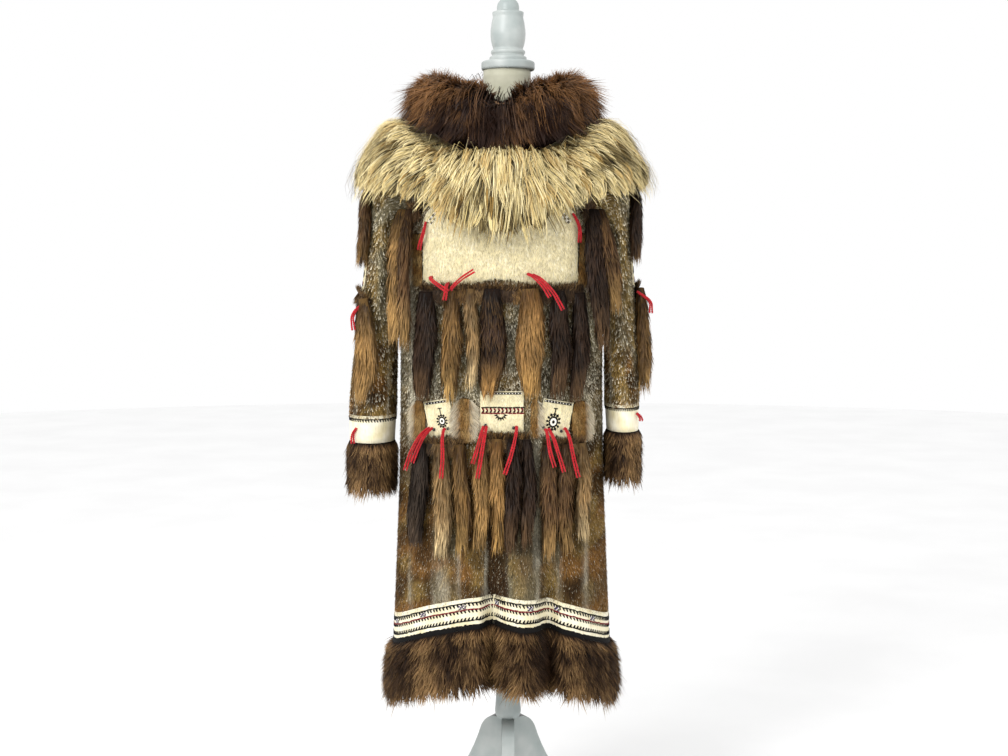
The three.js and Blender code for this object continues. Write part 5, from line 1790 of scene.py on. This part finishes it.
def wool():
    """Spun red wool, with fibres across its twist."""
    made, tree, shader = surface("red_wool_yarn", "#b50b17", 0.9, {"Sheen Weight": 0.1})
    toned(tree, shader, noise(tree, 6), "#a00813", "#c51020")
    bumped(tree, shader, noise(tree, 0.6), 0.4)
    return made


PLY_RADIUS, PITCH, TWIST = 1.3, 8.0, 1.0   # each ply, its turns and how far out it winds


def ply(path, phase):
    """One twisted ply round a path, as points and faces."""
    fine = [path[0]]
    padded_path = np.concatenate([[2 * path[0] - path[1]], path, [2 * path[-1] - path[-2]]])
    for i in range(1, len(padded_path) - 2):
        a, b, c, d = padded_path[i - 1:i + 3]
        for step in range(1, 9):
            fine.append(between(a, b, c, d, step / 8))
    fine = np.array(fine)
    ahead = unit(np.gradient(fine, axis=0))
    side = unit(np.cross(ahead, [0.05, -1.0, 0.1]))
    up = unit(np.cross(side, ahead))
    run = np.concatenate([[0], np.cumsum(np.linalg.norm(np.diff(fine, axis=0), axis=1))])
    turn = (run / PITCH * 2 * np.pi + phase)[:, None]
    centre = fine + (side * np.cos(turn) + up * np.sin(turn)) * TWIST
    around = np.arange(6) * np.pi / 3
    points = (centre[:, None] + side[:, None] * np.cos(around)[None, :, None] * PLY_RADIUS
              + up[:, None] * np.sin(around)[None, :, None] * PLY_RADIUS)
    rows = len(fine)
    faces = [grid_faces(rows, 6, wrap=True)]
    for first, flip in ((0, False), ((rows - 1) * 6, True)):
        caps = np.array([[0, 1, 2, 3], [0, 3, 4, 5]]) + first
        faces.append(caps[:, ::-1] if flip else caps)
    return points.reshape(-1, 3), np.concatenate(faces)


def yarn(name, paths, stands_for=()):
    """Two-ply strands along some paths, as one piece."""
    points, faces, start = [], [], 0
    for path in paths:
        for phase in (0.0, np.pi):
            ply_points, ply_faces = ply(np.array(path, float), phase)
            points.append(ply_points)
            faces.append(ply_faces + start)
            start += len(ply_points)
    return build(name, np.concatenate(points) + PARKA, [np.concatenate(faces)], red_wool,
                 stands_for=stands_for)


red_wool = wool()
# Each row: across and up at the knot, half way and at the loose end, which hang doubled.
YARNS = {
    "chest_yarn": [(-130, 1152, -110, 1138, -92, 1124), (-92, 1124, -80, 1144, -48, 1164),
                   (-98, 1140, -94, 1126, -98, 1108), (50, 1158, 70, 1144, 84, 1114),
                   (60, 1156, 88, 1136, 106, 1090)],
    "waist_yarn_left": [(-136, 860, -154, 822, -164, 778), (-130, 860, -142, 826, -152, 794),
                        (-106, 860, -98, 816, -104, 768)],
    "waist_yarn_centre": [(-34, 866, -40, 830, -50, 798), (-28, 866, -34, 820, -42, 770),
                          (28, 866, 22, 824, 6, 778)],
    "waist_yarn_right": [(82, 860, 80, 826, 92, 790), (88, 860, 96, 824, 108, 780),
                         (118, 860, 120, 816, 132, 768)],
}


def doubled(path):
    """Two strands side by side along a path."""
    path = np.array(path, float)
    ahead = unit(np.gradient(path, axis=0))
    side = unit(np.cross(ahead, [0.05, -1.0, 0.1])) * 2.2
    spread = np.linspace(0.3, 1.2, len(path))[:, None]
    return [path + side * spread, path - side * spread + [0, 1.0, 0]]


for name, rows in YARNS.items():
    paths = []
    for x, z, middle_x, middle_z, end_x, end_z in rows:
        start = on_front(np.array([x, x]), np.array([z, z - 1]), np.array([6.1, 14]))
        at = np.array([0.2, 0.6, 1.0])
        across = (1 - at) ** 2 * x + 2 * at * (1 - at) * middle_x + at ** 2 * end_x
        height = (1 - at) ** 2 * z + 2 * at * (1 - at) * middle_z + at ** 2 * end_z
        fall = hang(across, height, np.array([28.0, 33.0, 33.0]), 14)
        paths += doubled(np.concatenate([start, fall]))
    yarn(name + "_strands", paths, [name])

# Further ties at the sides of the chest plate, at the shoulders, on the sleeves and cuffs.
for name, ends in {"chest_side_ties": [(-141, 1258, -150, 1204), (133, 1274, 146, 1218)],
                   "shoulder_ties": [(-196, 1298, -204, 1262), (192, 1300, 200, 1266)]}.items():
    paths = []
    for x, z, end_x, end_z in ends:
        at = np.linspace(0, 1, 5)
        sway = np.sin(at * 4) * 2.5
        lift = 9 + 6 * np.sin(at * np.pi) + (16 if name == "shoulder_ties" else 3) * at
        paths += doubled(on_front(x + (end_x - x) * at + sway, z + (end_z - z) * at, lift))
    yarn(name, paths)
paths = []
for side, start, turn, reach in (("left", 4.68, 1.12, 0.66), ("right", 4.68, 0.62, 0.5),
                                 ("left", 8.5, 1.0, 0.5), ("right", 8.36, 0.8, 0.3)):
    at = np.linspace(0, 1, 6)
    lift = 10 + 24 * np.minimum(at * 2, 1) if start < 6 else 2.5 + 9 * at
    paths += doubled(off_sleeve(side, start + reach * at, turn - 0.1 * np.sin(at * 3), lift))
yarn("sleeve_ties", paths)

# ---------------------------------------------------------------- camera and light
# A white room with a broad soft lamp at the upper left and a weaker one at the right.
# The camera stands before the parka, a little above its middle.

floor_look, floor_tree, floor_shader = surface("pale_floor", "#f9f9f9", 0.9)
toned(floor_tree, floor_shader, noise(floor_tree, 400), "#f6f6f6", "#fafafa")
bpy.ops.mesh.primitive_circle_add(vertices=96, radius=9, fill_type="NGON", location=(0, 0, 0))
floor = bpy.context.object
floor.name = "floor"
floor.data.materials.append(floor_look)

world = bpy.data.worlds.new("white_room")
world.use_nodes = True
world.node_tree.nodes["Background"].inputs["Color"].default_value = (1, 1, 1, 1)
world.node_tree.nodes["Background"].inputs["Strength"].default_value = 1.0
bpy.context.scene.world = world
bpy.context.scene.view_settings.view_transform = "Standard"


def aimed(name, data, place, aim):
    """A lamp or camera at a place, turned to look at a point."""
    made = bpy.data.objects.new(name, data)
    made.location = place
    made.rotation_mode = "QUATERNION"
    made.rotation_quaternion = (Vector(aim) - Vector(place)).to_track_quat("-Z", "Y")
    bpy.context.scene.collection.objects.link(made)
    return made


def lamp(name, place, aim, size, power):
    """A square soft lamp that shines at a point."""
    light = bpy.data.lights.new(name, "AREA")
    light.shape = "SQUARE"
    light.size = size
    light.energy = power
    aimed(name, light, place, aim)


lamp("key_lamp", (-1.9, -2.6, 2.9), (0, 0, 1.0), 1.4, 90)
lamp("fill_lamp", (2.4, -2.2, 1.7), (0, 0, 0.9), 2.0, 15)

SENSOR = 36
VIEW_WIDTH = 2.016                # metres across the view at the stand's axis
camera_data = bpy.data.cameras.new("camera")
middle = (AXIS[0] - 8) * MM
eye = Vector((middle, AXIS[1] * MM - 3.0, 1.2))
target = Vector((middle, AXIS[1] * MM, 1.074))
camera_data.sensor_width = SENSOR
camera_data.lens = SENSOR * (target - eye).length / VIEW_WIDTH
camera_data.shift_y = -0.0625
bpy.context.scene.camera = aimed("camera", camera_data, eye, target)
